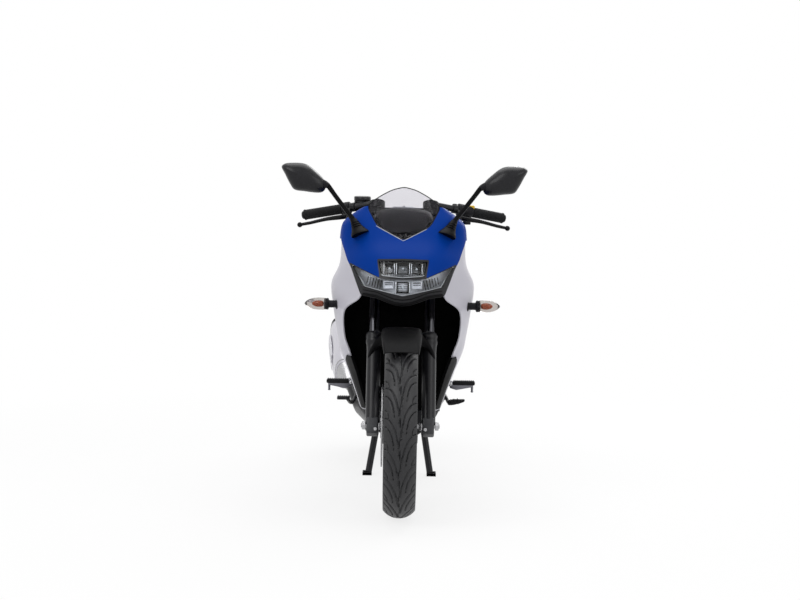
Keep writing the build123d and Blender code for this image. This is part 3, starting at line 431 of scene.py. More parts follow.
def place(thing, body, finish, replaces=(), slot=None, angle=35):
    """Gives a piece its finish and the body it rides on."""
    if finish is not None:
        paint(thing, finish)
    shade(thing, angle)
    if replaces:
        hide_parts(*replaces)
    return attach(thing, body)


def assemble(name, parts, body, replaces=(), slot=None, angle=35):
    """Joins painted parts into one piece and places it."""
    return place(join(name, parts), body, None, replaces, slot, angle)


def stack(start, way, table):
    """Painted turned parts on one axis. Columns: name, profile of (along, radius), steps, finish."""
    return [paint(lathe(name, profile, start, way, steps), finish) for name, profile, steps, finish in table]


def bolt(centre, direction, radius=5.0, height=4.0, finish="steel"):
    """A hexagon head on a round washer."""
    washer = lathe("washer", [(0, radius * 1.5), (0.8, radius * 1.5), (1.0, radius)], centre, direction, 16)
    head = lathe("head", [(0.5, radius), (height - 0.6, radius), (height, radius * 0.84), (height, 0.5)],
        centre, direction, 6)
    return [paint(washer, finish), paint(head, finish)]


def bolt_ring(centre, axis, radius, count, size, start=0.0, finish="steel"):
    """Bolts spaced round a centre; the axis is +1 or -1 along X."""
    heads = []
    for i in range(count):
        angle = start + math.tau * i / count
        offset = Vector((0, math.cos(angle) * radius, math.sin(angle) * radius)) * MM
        heads += bolt(centre + offset, Vector((axis, 0, 0)), size, 4, finish)
    return heads


# ---- camera, floor and light ----
CAMERA_X = -7.9
CAMERA_AHEAD = 6000.0
CAMERA_HEIGHT = 1159.0
CAMERA_PITCH = math.radians(4.35)
CAMERA_ROLL = math.radians(1.0)
FOCAL_PIXELS = 1878.0
IMAGE_WIDTH = 800
FLOOR_HALF = 30.0
WORLD_GLOW = 0.42
LIGHT_TARGET = Vector((0, 0, 0.6))
SENSOR = 36.0


def make_camera():
    data = bpy.data.cameras.new("camera")
    data.sensor_width = SENSOR
    data.lens = FOCAL_PIXELS / IMAGE_WIDTH * SENSOR
    data.clip_end = 100
    camera = add_object("camera", data)
    aim = Matrix.Rotation(math.pi / 2 - CAMERA_PITCH, 4, "X") @ Matrix.Rotation(CAMERA_ROLL, 4, "Z")
    camera.matrix_world = Matrix.Translation(at(CAMERA_X, -CAMERA_AHEAD, CAMERA_HEIGHT)) @ aim
    bpy.context.scene.camera = camera


def seen_directly(nodes, links):
    """1 for a ray from the camera, a reflection or through glass."""
    path = add_node(nodes, "LightPath")
    total = path.outputs["Is Camera Ray"]
    for name in ("Is Glossy Ray", "Is Transmission Ray"):
        step = add_node(nodes, "Math")
        step.operation = "MAXIMUM"
        links.new(total, step.inputs[0])
        links.new(path.outputs[name], step.inputs[1])
        total = step.outputs[0]
    return total


def make_floor():
    edge = FLOOR_HALF
    floor = new_object("floor", [(-edge, -edge, 0), (edge, -edge, 0), (edge, edge, 0), (-edge, edge, 0)],
        [(0, 1, 2, 3)])
    made = bpy.data.materials.new("pale_floor")
    made.use_nodes = True
    nodes, links = made.node_tree.nodes, made.node_tree.links
    shader = nodes["Principled BSDF"]
    shader.inputs["Base Color"].default_value = (0.92, 0.92, 0.92, 1)
    shader.inputs["Roughness"].default_value = 0.9
    glow = add_node(nodes, "Emission", Color=(1, 1, 1, 1), Strength=1.0)
    place = add_node(nodes, "TexCoord")
    reach = add_node(nodes, "VectorMath")
    reach.operation = "LENGTH"
    links.new(place.outputs["Object"], reach.inputs[0])
    fade = add_node(nodes, "MapRange", From_Min=0.9, From_Max=2.6, To_Min=0.8, To_Max=1.0)
    links.new(reach.outputs["Value"], fade.inputs["Value"])
    share = add_node(nodes, "Math")
    share.operation = "MULTIPLY"
    links.new(fade.outputs["Result"], share.inputs[1])
    links.new(seen_directly(nodes, links), share.inputs[0])
    blend = add_node(nodes, "MixShader")
    links.new(share.outputs[0], blend.inputs[0])
    links.new(shader.outputs[0], blend.inputs[1])
    links.new(glow.outputs[0], blend.inputs[2])
    links.new(blend.outputs[0], nodes["Material Output"].inputs["Surface"])
    floor.data.materials.append(made)


def make_light():
    world = bpy.data.worlds.new("studio")
    bpy.context.scene.world = world
    world.use_nodes = True
    nodes, links = world.node_tree.nodes, world.node_tree.links
    background = nodes["Background"]
    background.inputs["Color"].default_value = (1, 1, 1, 1)
    strength = add_node(nodes, "MapRange", To_Min=WORLD_GLOW, To_Max=1.0)
    links.new(seen_directly(nodes, links), strength.inputs["Value"])
    links.new(strength.outputs["Result"], background.inputs["Strength"])
    # Columns: name, place (x, y, z) in metres, size, power.
    for name, spot, size, power in (
        ("key", (-2.6, -3.4, 3.6), 2.6, 70),
        ("fill", (3.0, -3.0, 2.4), 2.6, 34),
        ("top", (0.0, 0.4, 3.8), 3.0, 60),
        ("back", (1.6, 3.4, 2.8), 2.4, 60),
    ):
        data = bpy.data.lights.new(name, "AREA")
        data.size = size
        data.energy = power
        lamp = add_object(name, data)
        lamp.location = spot
        lamp.rotation_euler = (LIGHT_TARGET - Vector(spot)).to_track_quat("-Z", "Y").to_euler()
    bpy.context.scene.view_settings.view_transform = "Standard"


make_camera()
make_floor()
make_light()


# ---- carried-over solids ----
solid_finishes = {
    "satin_black": "frame_main subframe fairing_stay centre_stand side_stand grab_rails rear_shock "
                   "handlebars fork_sliders triple_clamps front_rim rear_rim exhaust_pipe",
    "cast": "engine_crankcase engine_covers engine_cylinder",
    "grey_block": "front_caliper",
    "silver": "swingarm footpegs muffler muffler_shield",
    "steel": "front_disc rear_disc rear_axles front_axle front_sprocket rear_sprocket",
    "stanchion": "fork_stanchions",
    "ink": "inner_fairing",
    "plastic": "rear_hugger lower_cowl side_covers rear_fender bar_controls instrument_panel "
               "foot_controls brake_reservoir front_mudguard chin_trim mirror_left mirror_right "
               "front_indicators rear_indicators headlight_upper headlight_lower",
    "white": "side_fairing_left side_fairing_right tail_cowl",
    "blue": "upper_fairing fuel_tank",
    "rubber": "grips",
    "tyre": "front_tyre rear_tyre",
    "seat": "rider_seat pillion_seat",
    "red_lens": "tail_lamp",
    "plate": "number_plate",
    "chain": "chain",
    "screen": "windscreen",
}
for finish, names in solid_finishes.items():
    for name in names.split():
        paint(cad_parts[name], finish)


# ---- nose ----
# Columns: height z, then half-outline points (x, d) from the middle to the rear edge.
nose_table = [
    (680, (0, -40), (70, -20), (150, 55), (196, 150), (196, 330)),
    (742, (0, -38), (80, -18), (160, 60), (203, 150), (203, 350)),
    (775, (0, -30), (82, -12), (166, 70), (207, 160), (207, 370)),
    (829, (0, 0), (80, 14), (170, 95), (206, 175), (206, 390)),
    (892, (0, 70), (75, 82), (150, 130), (204, 190), (200, 385)),
    (940, (0, 116), (70, 124), (140, 158), (196, 210), (192, 350)),
    (970, (0, 145), (60, 150), (110, 168), (164, 215), (164, 305)),
    (1000, (0, 174), (50, 178), (85, 188), (120, 206), (120, 240)),
]
screen_top_row = (1066, (0, 238), (45, 241), (80, 250), (105, 262))


def full_row(z, half, inset=0.0):
    """A level from the rear on one side, round the middle, to the rear on the other."""
    points = [at(max(x - inset, 0), d + inset, z) for x, d in half]
    return flip(reversed(points[1:])) + points


def nose_sheet(name, inset=0.0, row_steps=8, column_steps=8):
    rows = [full_row(row[0], row[1:], inset) for row in nose_table]
    return sheet_mesh(name, smooth_rows(rows, row_steps, column_steps))


def nose_panel(name, wall, keep, cuts, inset=0.0):
    """The nose's skin kept inside one outline and cut by others."""
    panel = thicken(nose_sheet(name, inset), wall, -1.0)
    combine(panel, keep, "INTERSECT")
    for cut in cuts:
        combine(panel, cut, "DIFFERENCE")
    return panel


upper_lamp_corners = both_sides([(0, 829), (79, 826), (69, 779), (0, 775)])
lower_lamp_corners = both_sides([(0, 771), (71, 771), (90, 779), (167, 809), (127, 744), (0, 717)])
screen_corners = both_sides([(0, 890), (88, 934), (122, 994), (106, 1013), (76, 1033), (40, 1052), (0, 1062)])
upper_lamp_outline = rounded(upper_lamp_corners, 6)
lower_lamp_outline = rounded(lower_lamp_corners, 6)
chin_outline = rounded(both_sides([(0, 835), (84, 832), (75, 775), (175, 816), (136, 716), (126, 712),
    (84, 709), (28, 688), (0, 685)]), 6)
screen_outline = rounded(screen_corners, 14)
side_profile = rounded([(-60, 752), (-60, 940), (190, 998), (240, 990), (300, 956), (400, 910), (400, 880),
                        (196, 888), (92, 810), (44, 800), (40, 752)], 5)

blue_panel = nose_panel(
    "upper_fairing_skin", 4, prism("zone", side_profile, -230, 230, "side"),
    [prism("cut", chin_outline, -90, 200, "front"), prism("cut", screen_outline, -80, 330, "front")])
place(blue_panel, "chassis", "blue", ["upper_fairing"], "blue_paint")


# ---- side panels ----
# Columns: height z, front edge, widest point, rear edge, as (x, d).
side_table = [
    (884, (199, 184), (205, 230), (200, 430)),
    (806, (174, 104), (206, 190), (206, 430)),
    (742, (134, 56), (232, 236), (220, 470)),
    (708, (138, 60), (234, 250), (222, 500)),
    (655, (191, 150), (229, 262), (219, 540)),
    (570, (192, 200), (218, 300), (210, 600)),
    (510, (175, 250), (206, 320), (202, 640)),
    (430, (150, 300), (176, 352), (188, 690)),
    (345, (128, 330), (146, 372), (166, 716)),
    (300, (116, 345), (132, 384), (152, 720)),
]
side_opening = rounded([(370, 610), (490, 640), (560, 560), (510, 505), (400, 520)], 18)


def side_sheet(name, inset=0.0, pull=0.0):
    rows = [[at(x - inset, d + (pull if i == 0 else 0), z) for i, (x, d) in enumerate(half)]
            for z, *half in side_table]
    return sheet_mesh(name, smooth_rows(rows, 8, 14))


side_panel = thicken(side_sheet("side_fairing_skin"), 4, -1.0)
for cut in (prism("cut", side_opening, 0, 260, "side"),
            prism("cut", chin_outline, -90, 160, "front")):
    combine(side_panel, cut, "DIFFERENCE")
place(side_panel, "chassis", "white", ["side_fairing_left"], "white_paint")
place(mirrored(side_panel, "side_fairing_skin_right"), "chassis", "white", ["side_fairing_right"],
    "white_paint")


def lower_bar(name, side):
    """A dull black bar along the panel's lower front edge."""
    rows = []
    for z in np.linspace(306, 492, 20):
        levels = [row[0] for row in reversed(side_table)]
        front, wide = (
            [float(np.interp(z, levels, [row[k][axis] for row in reversed(side_table)])) for axis in (0, 1)]
            for k in (1, 2))
        share = 0.72 - 0.4 * max(0, (z - 462) / 30) ** 2
        rows.append([at(side * (front[0] - 7), front[1] + 6, z), at(side * front[0], front[1] - 3,
            z)] + [at(side * (front[0] + (wide[0] - front[0]) * k + 3),
            front[1] + (wide[1] - front[1]) * k - 3, z) for k in (share * 0.5,
            share)] + [at(side * (front[0] + (wide[0] - front[0]) * (share + 0.06) + 1),
            front[1] + (wide[1] - front[1]) * share + 4, z)])
    return thicken(sheet_mesh(name, rows), 2.5, 1.0)


for side, word in SIDES:
    place(lower_bar("lower_bar_" + word, side), "chassis", "boot", slot="black_plastic")


# ---- lamps ----
nose_shape = nose_sheet("nose_shape", 0.0, 6, 6)
nose_tree = BVHTree.FromObject(nose_shape, bpy.context.evaluated_depsgraph_get())
bpy.data.objects.remove(nose_shape)


def on_nose(x, z, back=0.0):
    """The place on the nose's skin straight behind (x, z), and the skin's direction there."""
    hit, normal, _, _ = nose_tree.ray_cast(at(x, -400, z), Vector((0, 1, 0)))
    if normal.y > 0:
        normal = -normal
    return hit + Vector((0, back * MM, 0)), normal


def inset(corners, gap, radius):
    """An outline's corners moved inwards by a gap, then rounded."""
    points = [Vector(p) for p in corners]
    count = len(points)
    area = sum(points[i - 1].x * points[i].y - points[i].x * points[i - 1].y for i in range(count))
    sign = 1 if area > 0 else -1
    moved = []
    for i, p in enumerate(points):
        before = (p - points[i - 1]).normalized()
        after = (points[(i + 1) % count] - p).normalized()
        first = Vector((-before.y, before.x)) * sign
        second = Vector((-after.y, after.x)) * sign
        moved.append(tuple(p + (first + second) * gap / (1 + first.dot(second))))
    return rounded(moved, radius)


def lamp_cover(name, outline):
    return nose_panel(name, 2.4, prism("zone", outline, -90, 160, "front"), [], 0.3)


def led_module(name, x, z, width, height, back=12.0, fins=4):
    """A dark light unit: a deep frame, a ribbed throat and a bright bulging lens."""
    centre, _ = on_nose(x, z, back)
    pieces = []
    turn = Matrix.Rotation(math.radians(-14), 4, "X") @ Matrix.Rotation(math.radians(x * 0.12), 4, "Z")
    turn = turn.to_3x3()

    def spot(px, py, pz):
        return centre + turn @ (Vector((px, py, pz)) * MM)

    shell = brick("shell", spot(0, 12, 0), (width, 26, height), 3.0, turn)
    throat = brick("throat", spot(0, 2, 0), (width - 7, 22, height - 7), 2.0, turn)
    combine(shell, throat, "DIFFERENCE")
    pieces.append(paint(shell, "ink"))
    for i in range(fins):
        level = (i + 0.5) / fins - 0.5
        pieces.append(paint(brick("rib", spot(0, 9 + 2 * abs(level), level * (height - 9)),
            (width - 7, 7, 1.6), 0.4, turn), "satin_black"))
    pieces.append(paint(lathe("lens", [(0, min(width, height) * 0.17), (3, min(width, height) * 0.16),
        (5, min(width, height) * 0.1), (6, 0.5)], spot(0, 10, 0), turn @ Vector((0, -1, 0)), 28),
        "lamp_white"))
    for side in (-1, 1):
        pieces.append(paint(brick("edge", spot(side * (width / 2 + 1.6), 3, -1), (2.2, 16, height * 0.96),
            0.8, turn), "chrome"))
    return join(name, pieces)


def reflector_bowl(name, outline, back, wall=2.5):
    """The inner wall of a lamp, set back from its cover."""
    return nose_panel(name, wall, prism("zone", outline, -90, 220, "front"), [], back)


# The two covers and the walls set back behind them.
upper_cover = lamp_cover("lamp_upper_cover", inset(upper_lamp_corners, 2.5, 5))
place(upper_cover, "chassis", "glass", ["headlight_upper"], "clear_lens")
lower_cover = lamp_cover("lamp_lower_cover", inset(lower_lamp_corners, 2.0, 4))
place(lower_cover, "chassis", "glass", ["headlight_lower"], "clear_lens")
place(reflector_bowl("lamp_upper_bowl", inset(upper_lamp_corners, 2.0, 5), 17), "chassis", "lamp_dark",
      slot="clear_lens")
place(reflector_bowl("lamp_lower_bowl", inset(lower_lamp_corners, 1.5, 4), 19), "chassis", "lamp_bowl",
      slot="clear_lens")

# Columns: name, x, z, width, height.
module_table = [
    ("module_upper_mid", 0, 803, 38, 38),
    ("module_upper_left", 44, 803, 30, 34),
    ("module_upper_right", -44, 803, 30, 34),
    ("module_lower_mid", 0, 745, 40, 36),
]
for name, x, z, width, height in module_table:
    place(led_module(name, x, z, width, height), "chassis", None, slot="clear_lens")


def louvres(name, side):
    """Upright fins in the outer part of the lower lamp."""
    fins = []
    for i in range(6):
        x = side * (70 + i * 8.5)
        low = 735 + (abs(x) - 70) * 0.42
        high = 768 + (abs(x) - 70) * 0.18
        spot, _ = on_nose(x, (low + high) / 2, 12)
        fins.append(paint(brick("fin", spot, (2.6, 14, high - low), 0.7,
            Matrix.Rotation(math.radians(-side * 12), 3, "Y")), "ink"))
    return join(name, fins)


def flank(name, side):
    """A reflector beside the middle light: a dished plate with a bright rim and a dark core."""
    parts = []
    spot, _ = on_nose(side * 45, 752, 14)
    turn = (Matrix.Rotation(math.radians(side * 8), 4, "Z") @ Matrix.Rotation(math.radians(-8), 4,
        "X")).to_3x3()
    plate = brick("plate", spot, (36, 6, 28), 3, turn)
    dish = brick("dish", spot + Vector((0, -3 * MM, 0)), (28, 5, 20), 4, turn)
    combine(plate, dish, "DIFFERENCE")
    parts.append(paint(plate, "lamp_bowl"))
    for i in range(3):
        parts.append(paint(brick("bar", spot + Vector((0, 0.5 * MM, (i - 1) * 6 * MM)), (26, 3, 2.4), 0.6,
            turn), "ink"))
    return join(name, parts)


for side, word in SIDES:
    place(louvres("lamp_louvres_" + word, side), "chassis", None, slot="clear_lens")
    place(flank("lamp_flank_" + word, side), "chassis", None, slot="clear_lens")


def highlight_line(name, corners, depth):
    """A bright line through (x, z) corners, laid on the nose's skin: a painted highlight."""
    path = []
    for start, end in zip(corners[:-1], corners[1:]):
        for k in range(6):
            x, z = (Vector(start) * (1 - k / 6) + Vector(end) * (k / 6))
            path.append(on_nose(x, z, depth)[0])
    return tube(name, path, 0.9, 8, smooth=False)


# Bright lines along the lamps' lower edges: painted highlights.
for name, corners in (("lamp_highlight_upper", [(-70, 785), (-62, 781), (0, 776), (62, 781), (70, 785)]),
                      ("lamp_highlight_lower", [(-138, 772), (-122, 745), (0, 719), (122, 745), (138, 772)])):
    place(highlight_line(name, corners, -0.4), "chassis", "lamp_white", slot="clear_lens")


# ---- black surround ----
chin = nose_panel("chin_surround", 24, prism("zone", chin_outline, -90, 200, "front"),
    [prism("cut", upper_lamp_outline, -90, 200, "front"), prism("cut", lower_lamp_outline, -90, 200,
    "front")], 0.2)
place(chin, "chassis", "satin_black", ["chin_trim"], "black_plastic")


def chin_ridge(name, offset, lift, radius):
    """A raised line that follows the surround's lower edge."""
    path = []
    for x in np.linspace(-126, 126, 29):
        z = np.interp(abs(x), [0, 28, 84, 126], [686, 689, 709, 713]) + offset
        spot, normal = on_nose(x, z)
        path.append(spot + normal * lift * MM)
    return tube(name, path, radius, 8, smooth=False)


place(chin_ridge("chin_lip", 5, 0.5, 5.5), "chassis", "boot", slot="black_plastic")
place(chin_ridge("chin_fold", 19, 0.6, 1.6), "chassis", "boot", slot="black_plastic")


# ---- screen and cockpit ----
# A bright line along the screen's lower edge: a painted highlight.
place(highlight_line("screen_highlight_line", [(-90, 934), (0, 889), (90, 934)], -0.4), "chassis", "lamp_white",
    slot="black_plastic")
screen_rows = [full_row(row[0], row[1:5]) for row in nose_table if row[0] >= 892]
screen_rows.append(full_row(screen_top_row[0], screen_top_row[1:]))


def screen_piece(name, wall, outline, hole=None, lift=0.0):
    rows = smooth_rows(screen_rows, 12, 10)
    piece = sheet_mesh(name, [[p - Vector((0, lift * MM, 0)) for p in row] for row in rows])
    thicken(piece, wall, -1.0)
    combine(piece, prism("zone", outline, 0, 400, "front"), "INTERSECT")
    if hole:
        combine(piece, prism("hole", hole, 0, 400, "front"), "DIFFERENCE")
    return piece


place(screen_piece("screen_sheet", 3, inset(screen_corners, 1.5, 13)), "chassis", "screen", ["windscreen"],
      "clear_lens")
place(screen_piece("screen_edge", 4, screen_outline, inset(screen_corners, 3.2, 12), 0.5), "chassis",
      "gloss_black", slot="black_plastic")


def cockpit_hood():
    """The dark hood over the instruments, seen through the screen."""
    rows = []
    # Columns: d, half width, top z at the middle, top z at the side, low z.
    for d, half, crown, side, low in (
        (128, 66, 914, 910, 904),
        (150, 84, 948, 938, 900),
        (180, 96, 978, 962, 896),
        (206, 98, 991, 974, 900),
        (226, 98, 992, 976, 916),
    ):
        rows.append([at(x * half, d, z) for x, z in ((-0.98, low), (-1.0, (low + side) / 2), (-0.9, side),
            (-0.5, crown - (crown - side) * 0.25), (0, crown), (0.5, crown - (crown - side) * 0.25),
            (0.9, side), (1.0, (low + side) / 2), (0.98, low))])
    return paint(thicken(sheet_mesh("hood", smooth_rows(rows, 5, 5)), 3), "plastic")


def display_unit():
    """The instrument box: its glass looks back and up at the rider."""
    turn = Matrix.Rotation(math.radians(24), 3, "X")
    body = paint(brick("body", at(0, 194, 941), (108, 26, 66), 6, turn), "satin_black")
    face = paint(brick("face", at(0, 206.5, 935), (98, 3, 54), 4, turn), "display")
    parts = [body, face]
    parts.append(paint(lathe("dial", [(0, 25), (1.5, 25), (2.5, 23.5)], at(-22, 208, 934.4),
        turn @ Vector((0, 1, 0)), 40), "gloss_black"))
    for i in range(9):
        angle = math.radians(-120 + 30 * i)
        spot = at(-22, 210.7, 934.4) + turn @ (Vector((math.sin(angle) * 20, 0, math.cos(angle) * 20)) * MM)
        parts.append(paint(brick("tick", spot, (1.2, 0.8, 4), 0, turn @ Matrix.Rotation(angle, 3, "Y")),
            "white"))
    parts.append(paint(brick("needle", at(-28, 211.5, 940.4), (1.4, 0.8, 20), 0,
        turn @ Matrix.Rotation(math.radians(-40), 3, "Y")), "amber"))
    return join("instrument_unit", parts)


assemble("cockpit_hood", [cockpit_hood()], "chassis", ["instrument_panel"], "black_plastic")
place(display_unit(), "chassis", None, slot="black_plastic")


def closed_level(half):
    """A smooth closed ring from the points of its +X half."""
    return catmull(flip(half[::-1]) + half, 5, closed=True)


# ---- tank ----
# Columns: height z, half width, front d, rear d, rear half width.
tank_table = [
    (764, 92, 452, 792, 66),
    (800, 116, 434, 803, 67),
    (840, 137, 424, 806, 66),
    (870, 140, 430, 790, 65),
    (900, 135, 442, 762, 62),
    (930, 121, 460, 727, 57),
    (955, 101, 482, 690, 50),
    (972, 74, 508, 650, 40),
    (981, 46, 532, 618, 28),
    (984, 18, 552, 592, 12),
]


def tank_ring(z, half, front, rear, rear_half):
    length = rear - front
    side = [(half * 0.36, front), (half * 0.74, front + length * 0.03),
        (half * 0.96, front + length * 0.16), (half, front + length * 0.3),
        (half * 0.96, front + length * 0.48), (half * 0.84, front + length * 0.66),
        (rear_half + (half - rear_half) * 0.1, front + length * 0.84),
        (rear_half * 0.9, rear - length * 0.03), (rear_half * 0.45, rear)]
    return closed_level([at(x, d, z) for x, d in side])


tank = lofted("tank_shell", [tank_ring(*row) for row in tank_table], 5)
tunnel = brick("tunnel", at(0, 510, 758), (84, 290, 84), 0)
combine(tank, tunnel, "DIFFERENCE")
place(tank, "chassis", "blue", ["fuel_tank"], "blue_paint", 50)

cap_axis = Vector((0, 0.05, 1))
cap_ring = paint(lathe("cap", [(-14, 40), (1.6, 40), (3.0, 38), (3.2, 31), (1.6, 30), (1.8, 12),
    (3.4, 10), (3.6, 0.5)], at(0, 572, 982.5), cap_axis, 56), "alloy")
cap_parts = [cap_ring]
for i in range(6):
    turn = math.radians(60 * i + 30)
    cap_parts.append(paint(lathe("bolt", [(0, 2.6), (1.6, 2.6), (2.0, 2.0), (2.0, 0.5)],
        at(math.cos(turn) * 35, 572 + math.sin(turn) * 35, 985), cap_axis, 12), "steel"))
cap_parts.append(paint(brick("flap", at(0, 572, 987), (9, 26, 4), 1.6), "satin_black"))
assemble("filler_cap", cap_parts, "chassis", slot="bare_steel")


# ---- tail ----
# Columns: d, half width, bottom z, top z.
tail_table = [
    (1064, 117, 714, 834),
    (1076, 116, 717, 836),
    (1140, 113, 728, 845),
    (1200, 108, 741, 853),
    (1270, 98, 763, 861),
    (1340, 85, 788, 868),
    (1410, 67, 818, 875),
    (1458, 53, 839, 878),
    (1476, 46, 847, 878),
]


def tail_ring(d, half, bottom, top):
    middle = (bottom + top) / 2
    side = [(half * 0.3, bottom), (half * 0.68, bottom + 2),
        (half * 0.93, bottom + (middle - bottom) * 0.6), (half, middle + (top - middle) * 0.2),
        (half * 0.95, top - (top - middle) * 0.3), (half * 0.8, top), (half * 0.4, top + 2)]
    return closed_level([at(x, d, z) for x, z in side])


tail_shell = lofted("tail_shell", [tail_ring(*row) for row in tail_table], 4)
combine(tail_shell, brick("well", at(0, 1120, 722), (170, 330, 70), 8), "DIFFERENCE")
place(tail_shell, "chassis", "white", ["tail_cowl"], "white_paint", 40)

# A blue flash along each side of the tail.
FLASH_PROUD = 0.0012
flash_parts = []
for side in (-1, 1):
    tree = BVHTree.FromObject(tail_shell, bpy.context.evaluated_depsgraph_get())
    grid = []
    # Columns: d, low z, high z.
    for d, low, high in ((1090, 770, 812), (1180, 790, 836), (1270, 812, 850), (1350, 834, 862),
        (1420, 852, 870)):
        line = []
        for share in (0, 0.33, 0.67, 1):
            hit, _, _, _ = tree.ray_cast(at(side * 300, d, low + (high - low) * share), Vector((-side, 0, 0)))
            line.append(hit + outward(side) * FLASH_PROUD)
        grid.append(line)
    flash_parts.append(paint(thicken(sheet_mesh("flash", smooth_rows(grid, 5, 3)), 2.4, 0.0), "blue"))
assemble("tail_flash", flash_parts, "chassis", slot="blue_paint")


# ---- seats ----
SEAT_VOXEL = 0.0055
SEAT_HELD = 0.006
CLOTH_FRAMES = 12


def cushion(name, levels, swell, cap):
    """A padded seat: a closed crowned form, swollen by cloth, with no point moved further than cap."""
    pad = rings_mesh(name, [seat_ring(level) for level in levels])
    modify(pad, "REMESH", mode="VOXEL", voxel_size=SEAT_VOXEL)
    start = [v.co.copy() for v in pad.data.vertices]
    floor_z = min(v.co.z for v in pad.data.vertices) + SEAT_HELD
    group = pad.vertex_groups.new(name="held")
    group.add([v.index for v in pad.data.vertices if v.co.z < floor_z], 1.0, "ADD")
    cloth = pad.modifiers.new("cloth", "CLOTH")
    cloth.settings.use_pressure = True
    cloth.settings.uniform_pressure_force = swell
    cloth.settings.effector_weights.gravity = 0
    cloth.settings.vertex_group_mass = "held"
    scene = bpy.context.scene
    for frame_number in range(1, CLOTH_FRAMES + 1):
        scene.frame_set(frame_number)
    depsgraph = bpy.context.evaluated_depsgraph_get()
    mesh = bpy.data.meshes.new_from_object(pad.evaluated_get(depsgraph))
    pad.modifiers.clear()
    pad.data = mesh
    limit = cap * MM
    for vertex, before in zip(pad.data.vertices, start):
        move = vertex.co - before
        if move.length > limit:
            vertex.co = before + move.normalized() * limit
    scene.frame_set(1)
    modify(pad, "SMOOTH", iterations=3, factor=0.5)
    modify(pad, "SUBSURF", levels=1)
    pad.vertex_groups.clear()
    return pad


# Columns: d, half width, side z, crown z at the middle, low z.
rider_rows = [
    (818, 64, 834, 840, 772), (850, 80, 812, 818, 770), (900, 98, 798, 803, 770), (950, 110, 794, 798, 771),
    (1000, 117, 794, 799, 772), (1040, 120, 806, 812, 776), (1066, 121, 826, 834, 780)]
pillion_rows = [(1082, 84, 846, 852, 842), (1110, 88, 862, 870, 846), (1180, 86, 874, 882, 853),
    (1250, 80, 884, 891, 861), (1300, 75, 890, 895, 866), (1324, 72, 886, 889, 869)]


def seat_ring(row):
    d, half, side, crown, low = row
    points = [
        (-half * 0.92, low), (-half * 0.985, (low * 2 + side) / 3), (-half * 0.98, (low + side * 2) / 3),
        (-half * 0.88, side), (-half * 0.5, crown - (crown - side) * 0.3), (0, crown),
        (half * 0.5, crown - (crown - side) * 0.3), (half * 0.88, side), (half * 0.98, (low + side * 2) / 3),
        (half * 0.985, (low * 2 + side) / 3), (half * 0.92, low), (0, low)]
    return [at(x, d, z) for x, z in points]


def seat_levels(rows, parts=4):
    """The rows with smooth ones between them."""
    fine = catmull([Vector(row[:3]) for row in rows], parts)
    rest = catmull([Vector((row[0], row[3], row[4])) for row in rows], parts)
    return [(a.x, a.y, a.z, b.y, b.z) for a, b in zip(fine, rest)]


rider_pad = cushion("rider_seat_pad", seat_levels(rider_rows), 3.0, 5.0)
place(rider_pad, "chassis", "seat", ["rider_seat"], "seat_cover", 60)
pillion_pad = cushion("pillion_seat_pad", seat_levels(pillion_rows), 3.0, 4.0)
place(pillion_pad, "chassis", "seat", ["pillion_seat"], "seat_cover", 60)


def seam(name, pad, rows, share, lift):
    """A piped seam along both sides of a cushion, laid on its own surface."""
    tree = BVHTree.FromObject(pad, bpy.context.evaluated_depsgraph_get())
    things = []
    for side in (-1, 1):
        path = []
        for d, half, edge_z, _, _ in seat_levels(rows, 3)[2:-2]:
            spot, normal, _, _ = tree.find_nearest(at(side * half * share, d, edge_z + lift))
            path.append(spot + normal * 0.6 * MM)
        things.append(paint(tube("bead", path, 1.7, 8, smooth=False), "rubber"))
    return join(name, things)


place(seam("rider_seat_seam", rider_pad, rider_rows, 0.955, -2.0), "chassis", None, slot="seat_cover")
place(seam("pillion_seat_seam", pillion_pad, pillion_rows, 0.95, -3.0), "chassis", None, slot="seat_cover")


# ---- mudguard ----
GUARD_OUTER = 315.0
GUARD_HALF = 62.0


def guard_point(x, radius, degrees):
    angle = math.radians(degrees)
    return at(x, -radius * math.cos(angle), FRONT_AXLE_Z + radius * math.sin(angle))


def guard_skin():
    rows = []
    for degrees in np.linspace(54, 146, 41):
        # The nose of the mudguard narrows to a soft point; its skirts deepen by the fork legs.
        nose = max(0.0, 1 - (degrees - 54) / 26)
        rear = max(0.0, (degrees - 118) / 28)
        half = GUARD_HALF * (1 - 0.16 * nose ** 2 - 0.1 * rear)
        drop = 30 * math.exp(-((degrees - 101) / 17) ** 2) + 6
        row = []
        for share, fall in ((-1, 1), (-1.0, 0.5), (-0.97, 0.16), (-0.86, 0.03), (-0.62, 0), (-0.3, 0), (0, 0),
                            (0.3, 0), (0.62, 0), (0.86, 0.03), (0.97, 0.16), (1.0, 0.5), (1, 1)):
            radius = GUARD_OUTER + 1 - (1 - math.cos(share * 1.1)) * 6 - fall * drop
            row.append(guard_point(share * half, radius, degrees))
        rows.append(row)
    return thicken(sheet_mesh("guard", smooth_rows(rows, 1, 3)), 3, 1.0)


